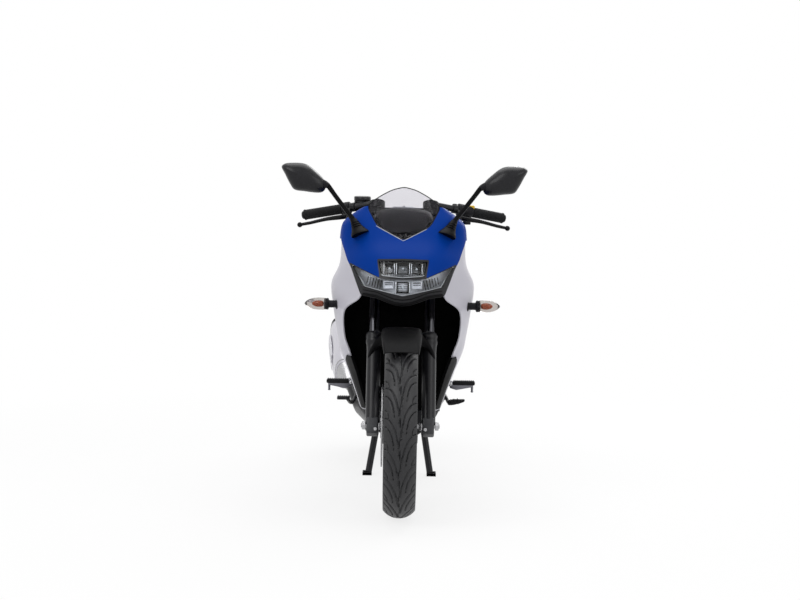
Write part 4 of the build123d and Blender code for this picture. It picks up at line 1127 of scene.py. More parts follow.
def guard_arms():
    """Arched arms from the guard's shoulders round the fork legs, with a bright silver line on their lower
    edge: a painted highlight.
    """
    parts = []
    for side in (-1, 1):
        rows = []
        bead = []
        # Columns: outer edge x, z, lower edge x, z, and d of both.
        for x, z, low_x, low_z, d in ((50, 594, 46, 560, 58), (60, 587, 56, 551, 66), (70, 577, 65, 549, 76),
                                      (84, 561, 77, 544, 80), (96, 541, 90, 533, 82), (104, 520, 98, 516, 84),
                                      (108, 500, 102, 499, 88), (109, 484, 103, 482, 92)):
            front = [at(side * (x + (low_x - x) * k / 4), d - 3 * math.sin(math.pi * k / 4),
                z + (low_z - z) * k / 4) for k in range(5)]
            rows.append(front + [at(side * low_x, d + 26, low_z + 2)])
            bead.append(at(side * low_x, d - 1.5, low_z))
        arm = paint(thicken(sheet_mesh("arm", smooth_rows(rows, 5, 3)), 4, 1.0), "boot")
        # The silver line is a painted highlight along the arm's lower edge.
        edge = paint(tube("edge", bead, 1.3, 8, 5), "silver")
        parts += [arm, edge]
    return parts


guard = paint(guard_skin(), "boot")
assemble("mudguard", [guard] + guard_arms(), "steering", ["front_mudguard"], "black_plastic", 50)


# ---- mirrors ----
pod_outline = [(405.9, 1122), (396, 1131), (372, 1134.6), (326, 1131), (290, 1106), (262, 1076),
    (260, 1052), (272, 1039), (330, 1041), (364, 1047), (377, 1064), (394, 1096)]
POD_CENTRE = Vector((330, 1088))


def mirror_unit(side):
    """A mirror on the given side: pod, glass, neck, stalk and boot."""
    parts = []
    rings = []
    edge = catmull([Vector((x, z, 0)) for x, z in pod_outline], 8, closed=True)
    # Columns: d, scale of the outline, lift of its middle.
    for d, scale, shift in ((213, 0.93, 0), (216, 0.985, 0), (212, 1.0, 0), (200, 0.985, 0), (190, 0.92, 1),
                            (182, 0.8, 2), (176, 0.6, 4), (172.5, 0.36, 6), (171.5, 0.08, 7)):
        ring = []
        for p in edge:
            x = POD_CENTRE.x + (p.x - POD_CENTRE.x) * scale + shift
            z = POD_CENTRE.y + (p.y - POD_CENTRE.y) * scale + shift * 0.4
            # A soft crease runs from the stalk to the pod's outer tip.
            crease = abs((z - 1052) - (x - 262) * 0.5) / 60
            ring.append(at(side * x, d - 3.5 * max(0, 1 - crease) * (1 - scale * 0.6), z))
        rings.append(ring)
    parts.append(paint(rings_mesh("pod", rings), "satin_black"))
    parts.append(paint(rings_mesh("glass",
        [ [at(side * (POD_CENTRE.x + (p.x - POD_CENTRE.x) * k), d,
        POD_CENTRE.y + (p.y - POD_CENTRE.y) * k) for p in edge] for d,
        k in ((213, 0.87), (214.2, 0.86))]), "mirror"))
    # A thin silver line in the pod's groove: a painted highlight.
    parts.append(paint(tube("slot", [at(side * 322, 176, 1096), at(side * 304, 178.5, 1088),
        at(side * 282, 185, 1075)], 1.1, 8), "silver"))
    parts.append(paint(tube("neck", [at(side * 250, 197, 1060), at(side * 262, 199, 1066),
        at(side * 284, 199, 1074)], [9, 12, 14], 14), "plastic"))
    rings = []
    # A straight flat blade with bevelled edges. Columns: x, d, z, half width, half thickness.
    for x, d, z, wide, thin in ((160, 161, 942, 10, 8), (170, 165, 957, 8.6, 6.4), (202, 177, 997, 7.6, 4.8),
                                (232, 190, 1036, 7.4, 4.6), (247, 196, 1056, 8, 5.6),
                                (256, 199, 1066, 8.4, 6)):
        over = Vector((side * 0.78, 0, -0.6))
        rings.append([at(side * x, d, z) + over * wide * MM * a + Vector((0, thin * MM * b, 0)) for a, b in (
            (1, 0.25), (0.62, 1), (-0.62, 1), (-1, 0.25), (-1, -0.3), (-0.5, -1), (0.5, -1), (1, -0.3))])
    parts.append(paint(rings_mesh("stalk", rings), "boot"))
    # A thin grey line along the stalk's lower edge: a painted highlight.
    parts.append(paint(tube("rib", [at(side * x, d, z) for x, d, z in ((174, 160, 953), (207, 172, 993),
        (252, 190, 1050))], [0.5, 0.9, 0.5], 6), "grey_block"))
    rings = []
    # Columns: share of the way up the boot, width, depth.
    for share, width, depth in ((-0.12, 31, 24), (0.0, 30, 23), (0.12, 26, 20), (0.35, 20, 16),
        (0.6, 15, 13.5),
                                (0.85, 12.5, 12), (1.0, 11.2, 11.2)):
        centre = at(side * (143 + 23 * share), 131 + 36 * share, 910 + 42 * share)
        normal = Vector((side * 0.32, 0.35, 0.88)).normalized()
        across_way = ACROSS - normal * normal.x
        across_way.normalize()
        deep_way = normal.cross(across_way)
        rings.append([centre + across_way * math.cos(a) * width * MM + deep_way * math.sin(a) * depth * MM
                      for a in np.linspace(0, 2 * math.pi, 24, endpoint=False)])
    parts.append(paint(rings_mesh("boot", rings), "boot"))
    for fold in (0.42, 0.58, 0.74):
        centre = at(side * (143 + 23 * fold), 131 + 36 * fold, 910 + 42 * fold)
        radius = 21 - 11 * fold
        parts.append(paint(turned_ring("fold", [(-1.4, radius), (0, radius + 1.8), (1.4, radius),
            (0, radius - 2)], centre, Vector((side * 0.32, 0.35, 0.88)), 28), "boot"))
    return parts


for side, word in SIDES:
    assemble("mirror_unit_" + word, mirror_unit(side), "chassis", ["mirror_" + word], "black_plastic", 65)


# ---- bars ----
BAR_START = Vector((210.0, 380.4, 980.2))
BAR_END = Vector((345.0, 430.4, 955.2))


def on_bar(x, side=1):
    share = (x - BAR_START.x) / (BAR_END.x - BAR_START.x)
    p = BAR_START.lerp(BAR_END, share)
    return at(side * p.x, p.y, p.z)


def bar_way(side):
    return (on_bar(300, side) - on_bar(200, side)).normalized()


def bar_grip(side):
    profile = [(0, 19), (4, 19), (5, 16.6)]
    along = 6.0
    while along < 132:
        profile += [(along, 16.6), (along + 0.9, 17.2), (along + 2.4, 17.2), (along + 3.2, 16.2)]
        along += 4.0
    profile += [(135, 17), (137, 18.4), (139, 18.2), (141, 15), (142, 12)]
    return lathe("grip", profile, on_bar(209, side), bar_way(side), 36)


def bar_weight(side):
    return lathe("weight", [(0, 9), (0.6, 13), (3, 13.4), (4.4, 12), (4.6, 3)], on_bar(341, side),
        bar_way(side), 32)


for side, word in SIDES:
    grip = paint(bar_grip(side), "rubber")
    place(grip, "steering", "rubber", ["grips"] if side == 1 else (), "grip_rubber", 60)


def lever(side):
    """A curved blade lever with its ball end, pivot and perch."""
    parts = []
    root = at(side * 190, 343, 957.5)
    tip = at(side * 352, 370, 924.5)
    middle = root.lerp(tip, 0.45) + Vector((0, -7, 3)) * MM
    near = root.lerp(tip, 0.16) + Vector((0, -9, 1)) * MM
    far = root.lerp(tip, 0.8) + Vector((0, -2, 0)) * MM
    blade = tube("blade", [root, near, middle, far, tip], [9, 8.2, 6.6, 5.6, 5.2], 14)
    ball = lathe("ball", [(-9, 0.5), (-8, 4.2), (-6, 6.8), (-3, 8.5), (0, 9), (3, 8.5), (6, 6.8),
        (8, 4.2), (9, 0.5)], tip, tip - far, 24)
    parts += [paint(blade, "gloss_black"), paint(ball, "gloss_black")]
    # A thin silver line along the blade's top: a painted highlight.
    parts.append(paint(tube("spark", [p + Vector((0, -3.2, 5.0)) * MM for p in (near, middle, far)],
        [0.9, 1.1, 0.6], 6), "silver"))
    parts.append(paint(lathe("pivot", [(-9, 8), (-8, 10), (9, 10), (10, 8.5), (12, 6.5), (13, 1)], root,
        Vector((0, 0.25, 1)), 24), "satin_black"))
    parts.append(paint(tube("arm",
        [on_bar(186, side), on_bar(186, side).lerp(root, 0.5) + Vector((0, 0, 3)) * MM, root],
        [13, 10, 9], 14), "satin_black"))
    parts.append(paint(lathe("clamp", [(-9, 12), (-8, 15.5), (8, 15.5), (9, 12)], on_bar(172, side),
        bar_way(side), 28), "satin_black"))
    return parts


def switch_box(side, length):
    """A two-part switch housing round the bar."""
    parts = []
    way = bar_way(side)
    start = on_bar(180, side)
    parts.append(paint(lathe("body", [(0, 14), (1.5, 19), (4, 21), (length - 4, 21), (length - 1.5, 19),
        (length, 15)], start, way, 36), "plastic"))
    parts.append(paint(lathe("seam", [(length / 2 - 0.8, 21.3), (length / 2 + 0.8, 21.3)], start, way,
        36), "satin_black"))
    return parts


def knobs(side, table):
    """Buttons and blocks set on a bar. Columns: x, back, up, size, finish."""
    return [paint(brick("knob", on_bar(x, side) + Vector((0, back, up)) * MM, size, 2.4), finish)
            for x, back, up, size, finish in table]


left_box = switch_box(1, 56) + knobs(1, (
    (230, -8, 17, (20, 11, 12), "yellow"), (212, 14, 14, (16, 9, 9), "satin_black"),
    (196, 16, 12, (12, 8, 8), "amber"), (214, -4, -36, (26, 20, 18), "satin_black")))
left_box.append(paint(brick("link", on_bar(214) + Vector((0, -4, -24)) * MM, (12, 12, 20), 2), "plastic"))
left_box += stack(at(172, 366, 984), Vector((0, 0.1, 1)), (
    ("adjuster", [(0, 6.5), (3, 8.5), (18, 8.5), (20, 7), (21, 2)], 24, "satin_black"),))
right_box = switch_box(-1, 30) + knobs(-1, (
    (196, 12, 16, (14, 9, 8), "red_lens"), (190, 18, -2, (12, 8, 12), "satin_black")))
assemble("controls", lever(1) + lever(-1) + left_box + right_box, "steering", ["bar_controls"],
    "black_plastic", 40)

weights = [bar_weight(1), bar_weight(-1)]
for thing in weights:
    paint(thing, "satin_black")
assemble("bar_weights", weights, "steering", slot="black_alloy")

# Brake fluid reservoir: cup, cap and bracket.
cup = paint(lathe("cup", [(0, 24), (1.5, 27), (24, 28), (25, 25.5), (26, 28.6), (36, 28.6), (38, 27),
    (38.6, 12), (38.8, 0.5)], at(-141, 384, 986), Vector((0, -0.04, 1)), 48), "satin_black")
window = paint(brick("window", at(-141, 356.6, 1000), (16, 4, 12), 2), "display")
foot = paint(tube("foot", [at(-141, 384, 990), at(-146, 372, 978), at(-160, 362, 982)], [8, 7, 8], 12),
    "satin_black")
hose = paint(tube("hose", [at(-141, 384, 990), at(-152, 372, 972), at(-168, 356, 962),
    at(-180, 350, 958)], 4.2, 10), "rubber")
assemble("reservoir", [cup, window, foot, hose], "steering", ["brake_reservoir"], "black_plastic", 40)


# ---- front indicators ----
def indicator(side):
    """A clear lens with an orange heart on a short flexible stalk."""
    return stack(at(side * 249, 222, 669), Vector((side, 0.1, 0)).normalized(), (
        ("shell", [(0, 14), (3, 18.6), (14, 20.2), (30, 20.4), (46, 18.8), (60, 14.6), (70, 8.8), (75, 3.5),
                   (76.5, 0.5)], 40, "tint"),
        ("heart", [(12, 2), (13, 6), (20, 9), (34, 9.5), (44, 7), (50, 3), (51, 0.5)], 28, "amber"),
        ("dish", [(2, 3), (3, 17), (8, 18.6), (9, 18), (4, 12), (3.5, 3)], 32, "grey_block"),
        ("back_plate", [(-5, 13.5), (-3, 19), (1.5, 19.6), (3, 17)], 40, "plastic"),
        ("stalk", [(-34, 17), (-31, 16.5), (-28, 12.5), (-22, 11.8), (-20, 12.6), (-17, 11.8), (-14, 12.6),
                   (-11, 11.8), (-8, 12.6), (-4, 12.6)], 32, "plastic")))


assemble("indicators_front", indicator(1) + indicator(-1), "chassis", ["front_indicators"],
    "black_plastic", 40)


# ---- fork ----
fork_way = on_fork(0, 0, 1) - on_fork(0, 0, 0)
slider_parts = []
for side in (-1, 1):
    x = side * 90
    slider_parts.append(paint(lathe("leg", [(0, 20), (3, 23), (250, 23.5), (262, 24.2), (276, 25),
        (280, 27), (292, 27.4), (296, 26), (300, 27.4), (310, 27), (316, 24), (318, 19)],
        on_fork(x, 0, 0), fork_way, 40), "satin_black"))
    turn = Matrix.Rotation(-RAKE, 3, "X")
    slider_parts.append(paint(brick("block", on_fork(x, 0, -4), (38, 46, 54), 5, turn), "grey_block"))
    slider_parts.append(paint(lathe("pinch", [(0, 5.5), (5, 5.5), (6, 4.5), (6, 1)],
        on_fork(x - side * 10, 24, -18), Vector((0, -1, 0)), 12), "steel"))
sliders = join("sliders", slider_parts)
place(sliders, "steering", None, ["fork_sliders"], "black_alloy", 40)

fork_tops = []
for side in (-1, 1):
    fork_tops.append(paint(lathe("cap", [(780, 18), (786, 18), (787.5, 16.5), (788, 11), (792, 11),
        (793, 9.5), (793.5, 1)], on_fork(side * 90, 0, 0), fork_way, 6 * 6), "satin_black"))
fork_tops.append(paint(lathe("stem_nut", [(755, 17), (766, 17), (768, 15), (768.5, 10), (764, 9),
    (764, 0.5)], on_fork(0, -STEERING_OFFSET, 0), fork_way, 6), "steel"))
assemble("fork_caps", fork_tops, "steering", slot="bare_steel", angle=30)

axle_parts = stack(FRONT_HUB, ACROSS, (("axle", [(-127, 4), (-126, 7.4), (126, 7.4), (127, 4)], 28,
    "steel"),))
for side, inner in ((-1, 64), (1, 59)):
    axle_parts += stack(FRONT_HUB, outward(side), (
        ("nut", [(112, 13), (113, 15), (122, 15), (123.5, 13.5), (124, 8)], 6, "steel"),
        ("spacer", [(inner, 9), (inner + 0.6, 13), (66, 14), (67, 12.6), (70, 12.6)], 32, "steel")))
assemble("axle_front", axle_parts, "steering", ["front_axle"], "bare_steel", 30)


# ---- wheels ----
def tread_depth(arc, across_place, pitch, reach):
    """How deep the tread is cut at places round and across the tyre, in millimetres."""
    cut = np.zeros_like(arc)

    def groove(start_s, end_s, rise, lag, width, mirror_sign, offset):
        nonlocal cut
        t = np.linspace(0, 1, 36)
        line_s = start_s + (end_s - start_s) * t ** 1.7
        line_a = offset + lag + rise * (1 - (1 - t) ** 1.8)
        widths = width * (0.35 + 0.65 * np.sin(np.pi * np.clip(t * 0.8 + 0.15, 0, 1)))
        side_s = across_place * mirror_sign
        for shift in (-2, -1, 0, 1):
            for k in range(len(t)):
                da = arc - (line_a[k] + shift * pitch)
                ds = side_s - line_s[k]
                dist = np.sqrt(da * da + ds * ds)
                cut = np.maximum(cut, np.clip((widths[k] - dist) / 1.3 + 0.5, 0, 1))

    for sign, offset in ((1, 0.0), (-1, pitch * 0.5)):
        groove(4.0, reach * 0.98, pitch * 1.15, 0.0, 2.9, sign, offset)
        groove(reach * 0.34, reach * 1.02, pitch * 0.72, pitch * 0.16, 2.3, sign, offset)
        groove(reach * 0.66, reach * 1.04, pitch * 0.3, pitch * 0.12, 1.9, sign, offset)
    wave = 2.2 * np.sin(2 * np.pi * arc / pitch) + 0.8 * np.sin(4 * np.pi * arc / pitch)
    cut = np.maximum(cut, np.clip((1.5 - np.abs(across_place - wave)) / 1.2 + 0.5, 0, 1) * 0.8)
    return cut * GROOVE_DEPTH


def tyre_mesh(name, width, radius, centre_d, centre_z, pitches, steps_per_pitch):
    """A tyre with its grooves really cut into the tread."""
    half = width / 2
    shoulder = radius - TYRE_CROWN
    # The tread follows the solid's crown; the sidewall drops from it to the bead.
    span = 54
    xs = np.linspace(-1, 1, span + 1)
    crown_radius = (half ** 2 + TYRE_CROWN ** 2) / (2 * TYRE_CROWN)
    crown_half = math.asin(half / crown_radius)
    angles = xs * crown_half
    crown_x = crown_radius * np.sin(angles)
    crown_r = radius - crown_radius * (1 - np.cos(angles))
    side_steps = [(half + 0.2, shoulder - 9), (half - 0.8, shoulder - 20), (half - 3.6, shoulder - 32),
        (half - 7.6, shoulder - 44), (half - 10.6, 219), (half - 12, 216), (half - 20, 215), (half - 24, 219)]
    steps = pitches * steps_per_pitch
    pitch = 2 * math.pi * radius / pitches
    arcs = np.arange(steps) / steps_per_pitch * pitch
    place_arc = np.mod(arcs, pitch)
    grid_arc, grid_s = np.meshgrid(place_arc, crown_radius * angles, indexing="ij")
    one = tread_depth(grid_arc[:steps_per_pitch], grid_s[:steps_per_pitch], pitch, crown_radius * crown_half)
    cut = np.tile(one, (pitches, 1))
    rows = []
    for i in range(steps + 1):
        turn = 2 * math.pi * (i % steps) / steps
        out_d, out_z = -math.cos(turn), math.sin(turn)
        row = []
        for x, r in reversed(side_steps):
            row.append(at(-x, centre_d + out_d * r, centre_z + out_z * r))
        for k in range(span + 1):
            deep = cut[i % steps, k] if 2 < k < span - 2 else 0
            x = crown_x[k] - math.sin(angles[k]) * deep
            r = crown_r[k] - math.cos(angles[k]) * deep
            row.append(at(x, centre_d + out_d * r, centre_z + out_z * r))
        for x, r in side_steps:
            row.append(at(x, centre_d + out_d * r, centre_z + out_z * r))
        rows.append(row)
    return sheet_mesh(name, rows, closed=True)


place(tyre_mesh("tyre_front", 104, 296, 0, FRONT_AXLE_Z, 18, 36), "front_wheel", "tyre", ["front_tyre"],
    "tyre_rubber", 50)
place(tyre_mesh("tyre_rear", 140, 300, WHEELBASE, REAR_AXLE_Z, 16, 32), "rear_wheel", "tyre", ["rear_tyre"],
      "tyre_rubber", 50)


def cast_wheel(name, half, hub_half, hub_radius, centre, spokes=6):
    """A cast rim: shaped barrel, hub and forked spokes."""
    lip = half + 3
    barrel = turned_ring("barrel", [(-lip, 221), (-lip + 2.4, 222), (-lip + 3.4, 215),
        (-half * 0.72, 213), (-half * 0.5, 205), (0, 203), (half * 0.5, 205), (half * 0.72, 213),
        (lip - 3.4, 215), (lip - 2.4, 222), (lip, 221), (lip + 0.4, 211), (lip - 5, 205),
        (half * 0.62, 202), (half * 0.36, 197), (0, 195.5), (-half * 0.36, 197), (-half * 0.62, 202),
        (-lip + 5, 205), (-lip - 0.4, 211)], centre, ACROSS, 120)
    parts = [barrel]
    hub = turned_ring("hub", [(-hub_half, hub_radius - 9), (-hub_half + 2, hub_radius - 5),
        (-hub_half * 0.66, hub_radius), (0, hub_radius + 2), (hub_half * 0.66, hub_radius),
        (hub_half - 2, hub_radius - 5), (hub_half, hub_radius - 9), (hub_half, 10.5), (-hub_half, 10.5)],
        centre, ACROSS, 56)
    parts.append(hub)
    for i in range(spokes):
        turn = 2 * math.pi * i / spokes + math.pi / 2
        out = Vector((0, math.cos(turn), math.sin(turn)))
        side = Vector((0, -math.sin(turn), math.cos(turn)))
        for fork in (-1, 1):
            rings = []
            # Columns: distance from the hub's middle, sweep, half width, half depth.
            for reach, sweep, wide, deep in ((hub_radius - 6, 3, 13, 15), (70, 5, 9, 12), (110, 9, 7.4, 10),
                                             (150, 15, 7, 9.5), (184, 22, 8.5, 11), (200, 26, 12, 14)):
                middle = centre + (out * reach + side * sweep * fork) * MM
                rings.append([middle + (side * wide * cx + ACROSS * deep * cz) * MM for cx,
                    cz in ((-1, -0.55), (-0.72, -0.95), (0.72, -0.95), (1, -0.55), (1, 0.55),
                    (0.72, 0.95), (-0.72, 0.95), (-1, 0.55))])
            parts.append(lofted("spoke", rings, 4))
    valve = lathe("valve", [(0, 3), (12, 3), (14, 4), (26, 4), (27, 2.5)], centre + Vector((0, 0, -0.197)),
                  Vector((0.25, 0, 1)), 14)
    parts.append(valve)
    return join(name, parts)


place(cast_wheel("wheel_front_cast", 38, 54, 36, FRONT_HUB), "front_wheel", "satin_black", ["front_rim"],
      "black_alloy", 40)
place(cast_wheel("wheel_rear_cast", 54, 76, 42, REAR_HUB), "rear_wheel", "satin_black", ["rear_rim"],
      "black_alloy", 40)


def brake_disc(name, x, thickness, radius, inner, centre, holes):
    """A drilled disc with a scalloped edge on a five-armed carrier."""
    rows = []
    steps = 180
    for k in range(steps + 1):
        turn = 2 * math.pi * (k % steps) / steps
        edge = radius - 2.2 * (0.5 - 0.5 * math.cos(turn * 10)) ** 3
        out = Vector((0, math.cos(turn), math.sin(turn)))
        rows.append([centre + Vector((x + dx, 0, 0)) * MM + out * r * MM for dx, r in (
            (-thickness / 2, inner), (-thickness / 2, edge - 0.8), (-thickness / 2 + 0.8, edge),
            (thickness / 2 - 0.8, edge), (thickness / 2, edge - 0.8), (thickness / 2, inner))])
    plate = sheet_mesh("plate", rows, closed=True)
    drills = []
    for k in range(holes):
        for row, radius_share in enumerate((0.3, 0.55, 0.8)):
            turn = 2 * math.pi * (k + row * 0.33) / holes
            reach = inner + (radius - inner) * radius_share
            spot = centre + Vector((x, math.cos(turn) * reach, math.sin(turn) * reach)) * MM
            drills.append(lathe("drill", [(-6, 3), (6, 3)], spot, ACROSS, 12))
    combine(plate, join("drills", drills), "DIFFERENCE")
    parts = [plate]
    for k in range(5):
        turn = 2 * math.pi * k / 5
        out = Vector((0, math.cos(turn), math.sin(turn)))
        way = Matrix.Rotation(turn - math.pi / 2, 3, "X")
        length = inner - 24
        arm = brick("arm", centre + Vector((x, 0, 0)) * MM + out * (26 + length / 2) * MM,
            (thickness - 0.6, 20, length + 12), 1.2, way)
        parts.append(arm)
        bolt = lathe("bolt", [(-thickness / 2 - 3, 5.5), (-thickness / 2 - 2.4, 6), (thickness / 2, 6)],
                     centre + Vector((x, 0, 0)) * MM + out * 40 * MM, Vector((1 if x < 0 else -1, 0, 0)), 6)
        parts.append(bolt)
    parts.append(turned_ring("boss", [(-thickness / 2, 34), (thickness / 2, 34), (thickness / 2, 50),
        (-thickness / 2, 50)], centre + Vector((x, 0, 0)) * MM, ACROSS, 56))
    return join(name, parts)


place(brake_disc("disc_front", -59, 4.5, 133, 92, FRONT_HUB, 18), "front_wheel", "steel", ["front_disc"],
      "bare_steel", 30)
place(brake_disc("disc_rear", -82, 4.5, 110, 76, REAR_HUB, 16), "rear_wheel", "steel", ["rear_disc"],
      "bare_steel", 30)


# ---- engine ----
cover_parts = []
# Columns: side, face x, d, z, profile of (outward, radius), bolt radius, bolt face, bolt count.
for side, face, d, z, profile, bolt_radius, bolt_face, count in (
    (-1, 84, 650, 340, [(0, 92), (20, 89.5), (31, 87), (37, 80), (39.5, 70), (40, 54), (37, 51), (37, 22),
    (39, 20),
                        (39, 0.5)], 84, 33, 9),
    (-1, 84, 530, 330, [(0, 64), (16, 62.5), (24, 58), (27.5, 49), (28, 32), (25, 29), (25, 0.5)], 57, 24, 7),
    (1, 66, 560, 336, [(0, 78), (28, 76), (38, 73), (44, 64), (46, 50), (46, 38), (43, 35), (43, 14),
    (45, 12),
                       (45, 0.5)], 71, 38, 7),
):
    way = outward(side)
    cover_parts.append(paint(lathe("cover", profile, at(side * face, d, z), way, 72), "cast"))
    cover_parts += bolt_ring(at(side * (face + bolt_face), d, z), side, bolt_radius - 4, count, 4.4, 0.3)
    cover_parts += bolt(at(side * (face + profile[-1][0] - 1), d, z), way, 9, 4)
assemble("engine_side_covers", cover_parts, "chassis", ["engine_covers"], "engine_metal", 40)

head_parts = []
cylinder_lean = math.radians(12)
cylinder_up = Vector((0, -math.sin(cylinder_lean), math.cos(cylinder_lean)))
head_top = at(0, 520, 474) + cylinder_up * 168 * MM
for x in (-44, 44):
    for d in (-42, 42):
        head_parts += bolt(head_top + Vector((x, d * math.cos(cylinder_lean),
            d * math.sin(cylinder_lean))) * MM, cylinder_up, 6, 5)
plug_way = Vector((1, -0.35, 0.45)).normalized()
head_parts.append(paint(lathe("plug_cap", [(-12, 9), (6, 9.5), (10, 8), (26, 8), (28, 5), (30, 4), (31, 0.5)],
                              at(60, 496, 596), plug_way, 20), "rubber"))
assemble("engine_head_bolts", head_parts, "chassis", slot="engine_metal", angle=40)


# ---- exhaust ----
can_start = at(-190, 985, 316)
can_end = at(-232, 1400, 474)
can_length = (can_end - can_start).length / MM
can_way = (can_end - can_start).normalized()
can_side = (ACROSS - can_way * can_way.x).normalized()
can_up = can_way.cross(can_side)


def on_can(along, side=0.0, up=0.0):
    return can_start + (can_way * along + can_side * side + can_up * up) * MM


def can_ring(along, half_side, half_up, power=3.2, steps=56):
    ring = []
    for i in range(steps):
        angle = math.tau * i / steps
        c, s = math.cos(angle), math.sin(angle)
        reach = (abs(c) ** power + abs(s) ** power) ** (-1 / power)
        ring.append(on_can(along, half_side * c * reach, half_up * s * reach))
    return ring


muffler_parts = []
# Columns: finish, then rings of (along, half width, half height).
for finish, rings in (
    ("steel", ((-6, 21, 21), (0, 24, 24), (20, 30, 31), (42, 39, 45), (58, 45, 53), (64, 46.5, 55))),
    ("can", ((62, 47.5, 56), (70, 50, 60), (104, 54, 68), (150, 56, 74), (240, 56, 75), (330, 55.5, 74),
             (384, 52, 69), (412, 49, 65))),
    ("plastic", ((408, 50, 66.5), (411, 51, 68), (430, 48.5, 64.5), (can_length - 6, 46, 61),
    (can_length - 1, 42, 57),
                 (can_length - 1, 30, 44))),
):
    muffler_parts.append(paint(rings_mesh("shell", [can_ring(*ring) for ring in rings]), finish))
for along in (72, 400):
    muffler_parts.append(paint(rings_mesh("band", [
        can_ring(along + k, 52 + lift, 63 + lift if along < 100 else 67.5 + lift)
        for k, lift in ((-3, -2), (-2.6, 0), (2.6, 0), (3, -2))]), "steel"))
outlet = lathe("outlet", [(0, 19), (9, 19), (9.6, 17.6), (9, 16.2), (-30, 16.2), (-30, 0.5)],
               on_can(can_length - 4, 0, -14), can_way, 32)
muffler_parts.append(paint(outlet, "steel"))
for angle in (0.6, 1.7, 2.8, 3.9, 5.0):
    muffler_parts += bolt(on_can(can_length - 2, 38 * math.cos(angle), 52 * math.sin(angle)), can_way, 3.2, 3)
strap = paint(brick("strap", on_can(196, 30, 86), (8, 34, 44), 3, Matrix.Rotation(math.radians(20), 3, "X")),
              "satin_black")
muffler_parts.append(strap)
assemble("muffler_can", muffler_parts, "chassis", ["muffler"], "silver_metal", 40)

shield_rows = []
for along in np.linspace(165, 335, 18):
    taper = 1 - 0.25 * abs((along - 250) / 85) ** 3
    shield_rows.append([on_can(along, -56.5 - 4.5 * (1 - (k / 5) ** 4),
        9.2 * k * taper) for k in range(-5, 6)])
shield_sheet = thicken(sheet_mesh("shield", shield_rows), 1.8, 0.0)
for k in range(5):
    middle = on_can(190 + 30 * k, -60, 0)
    slit = brick("slit", middle, (20, 8, 46), 3, Matrix.Rotation(math.radians(20.8), 3, "X"))
    combine(shield_sheet, slit, "DIFFERENCE")
shield_parts = [paint(shield_sheet, "can")]
for along in (172, 328):
    shield_parts += bolt(on_can(along, -59, 0), -can_side, 3.6, 2.4)
assemble("muffler_guard", shield_parts, "chassis", ["muffler_shield"], "silver_metal", 40)

clamp_parts = []
for along in (-20, -8):
    clamp_parts.append(paint(lathe("clamp", [(-4, 20), (-4, 22.5), (4, 22.5), (4, 20)], on_can(along),
        can_way, 32), "steel"))
clamp_parts += bolt(on_can(-14, -26, 0), Vector((0, 0, 1)), 4, 5)
flange_way = Vector((0, -1, 0.45)).normalized()
clamp_parts.append(paint(lathe("flange", [(-5, 20), (-5, 32), (3, 32), (3, 20)], at(-44, 440, 587),
    flange_way, 28), "steel"))
assemble("exhaust_clamps", clamp_parts, "chassis", slot="bare_steel", angle=40)


# ---- footrests and foot controls ----
rest_parts = []
for side in (-1, 1):
    bracket = prism("bracket", rounded([(806, 432), (840, 432), (872, 340), (868, 294), (838, 298)], 8),
        side * 100, side * 112, "side")
    hole = prism("hole", rounded([(826, 410), (838, 408), (856, 348), (848, 330), (840, 338)], 4),
        side * 90, side * 122, "side")
    combine(bracket, hole, "DIFFERENCE")
    soften(bracket, 1.4)
    rest_parts.append(paint(bracket, "peg_metal"))
    rest_parts.append(paint(lathe("spacer", [(0, 8), (34, 8)], at(side * 68, 822, 418), outward(side),
        20), "peg_metal"))
    rest_parts += bolt(at(side * 112, 822, 418), outward(side), 6, 5)
    rest_parts.append(paint(lathe("boss", [(0, 15), (10, 15), (14, 12.5), (60, 10.5), (72, 12)],
        at(side * 110, 850, 335), outward(side), 28), "peg_metal"))
    taper = prism("taper",
        rounded([(side * x, z) for x, z in ((180, 346), (180, 318), (204, 311), (266, 323), (266, 331),
        (196, 340))], 3), 840, 860, "front")
    soften(taper, 2)
    rest_parts.append(paint(taper, "peg_metal"))
    rubber = brick("rubber", at(side * 231, 850, 336.5), (82, 31, 15), 5)
    rest_parts.append(paint(rubber, "rubber"))
    for i in range(11):
        rib = brick("rib", at(side * (196 + i * 7), 850, 344), (3, 29 - abs(i - 5) * 0.5, 4), 1)
        rest_parts.append(paint(rib, "rubber"))
    rest_parts.append(paint(lathe("pin", [(-17, 5), (-16, 6.5), (16, 6.5), (17, 5)], at(side * 182, 850, 334),
                                  Vector((0, 1, 0)), 20), "steel"))
    rest_parts.append(paint(lathe("feeler", [(0, 4), (4, 4.4), (16, 4), (20, 5), (22, 3.6), (22.5, 0.5)],
                                  at(side * 262, 850, 324), Vector((0, 0, -1)), 16), "peg_metal"))
assemble("footrests", rest_parts, "chassis", ["footpegs"], "silver_metal", 40)

control_parts = []
pedal = tube("pedal", [at(-158, 862, 292), at(-172, 800, 270), at(-180, 760, 270), at(-190, 716, 288)],
    [8, 7, 7, 6.5], 16)
control_parts.append(paint(pedal, "satin_black"))
control_parts.append(paint(brick("pad", at(-205, 708, 293), (46, 26, 12), 3), "satin_black"))
for i in range(6):
    control_parts.append(paint(brick("grip_rib", at(-186 - i * 7.4, 708, 299.5), (2.6, 24, 3), 0.8),
        "satin_black"))
gear = tube("gear", [at(157, 858, 300), at(168, 800, 284), at(174, 760, 276), at(182, 714, 283)],
    [7, 6, 6, 6], 16)
control_parts.append(paint(gear, "satin_black"))
toe = rings_mesh("toe",
    [[at(x, 708 + w * math.cos(a), z + h * math.sin(a)) for a in np.linspace(0, math.tau, 20,
    False)] for x, z, w, h in ((170, 282, 6, 7), (174, 282, 9, 10), (190, 284, 9.5, 11),
    (214, 287, 8.5, 8), (228, 290, 7, 5.5), (231, 290.5, 4, 3))])
control_parts.append(paint(toe, "rubber"))
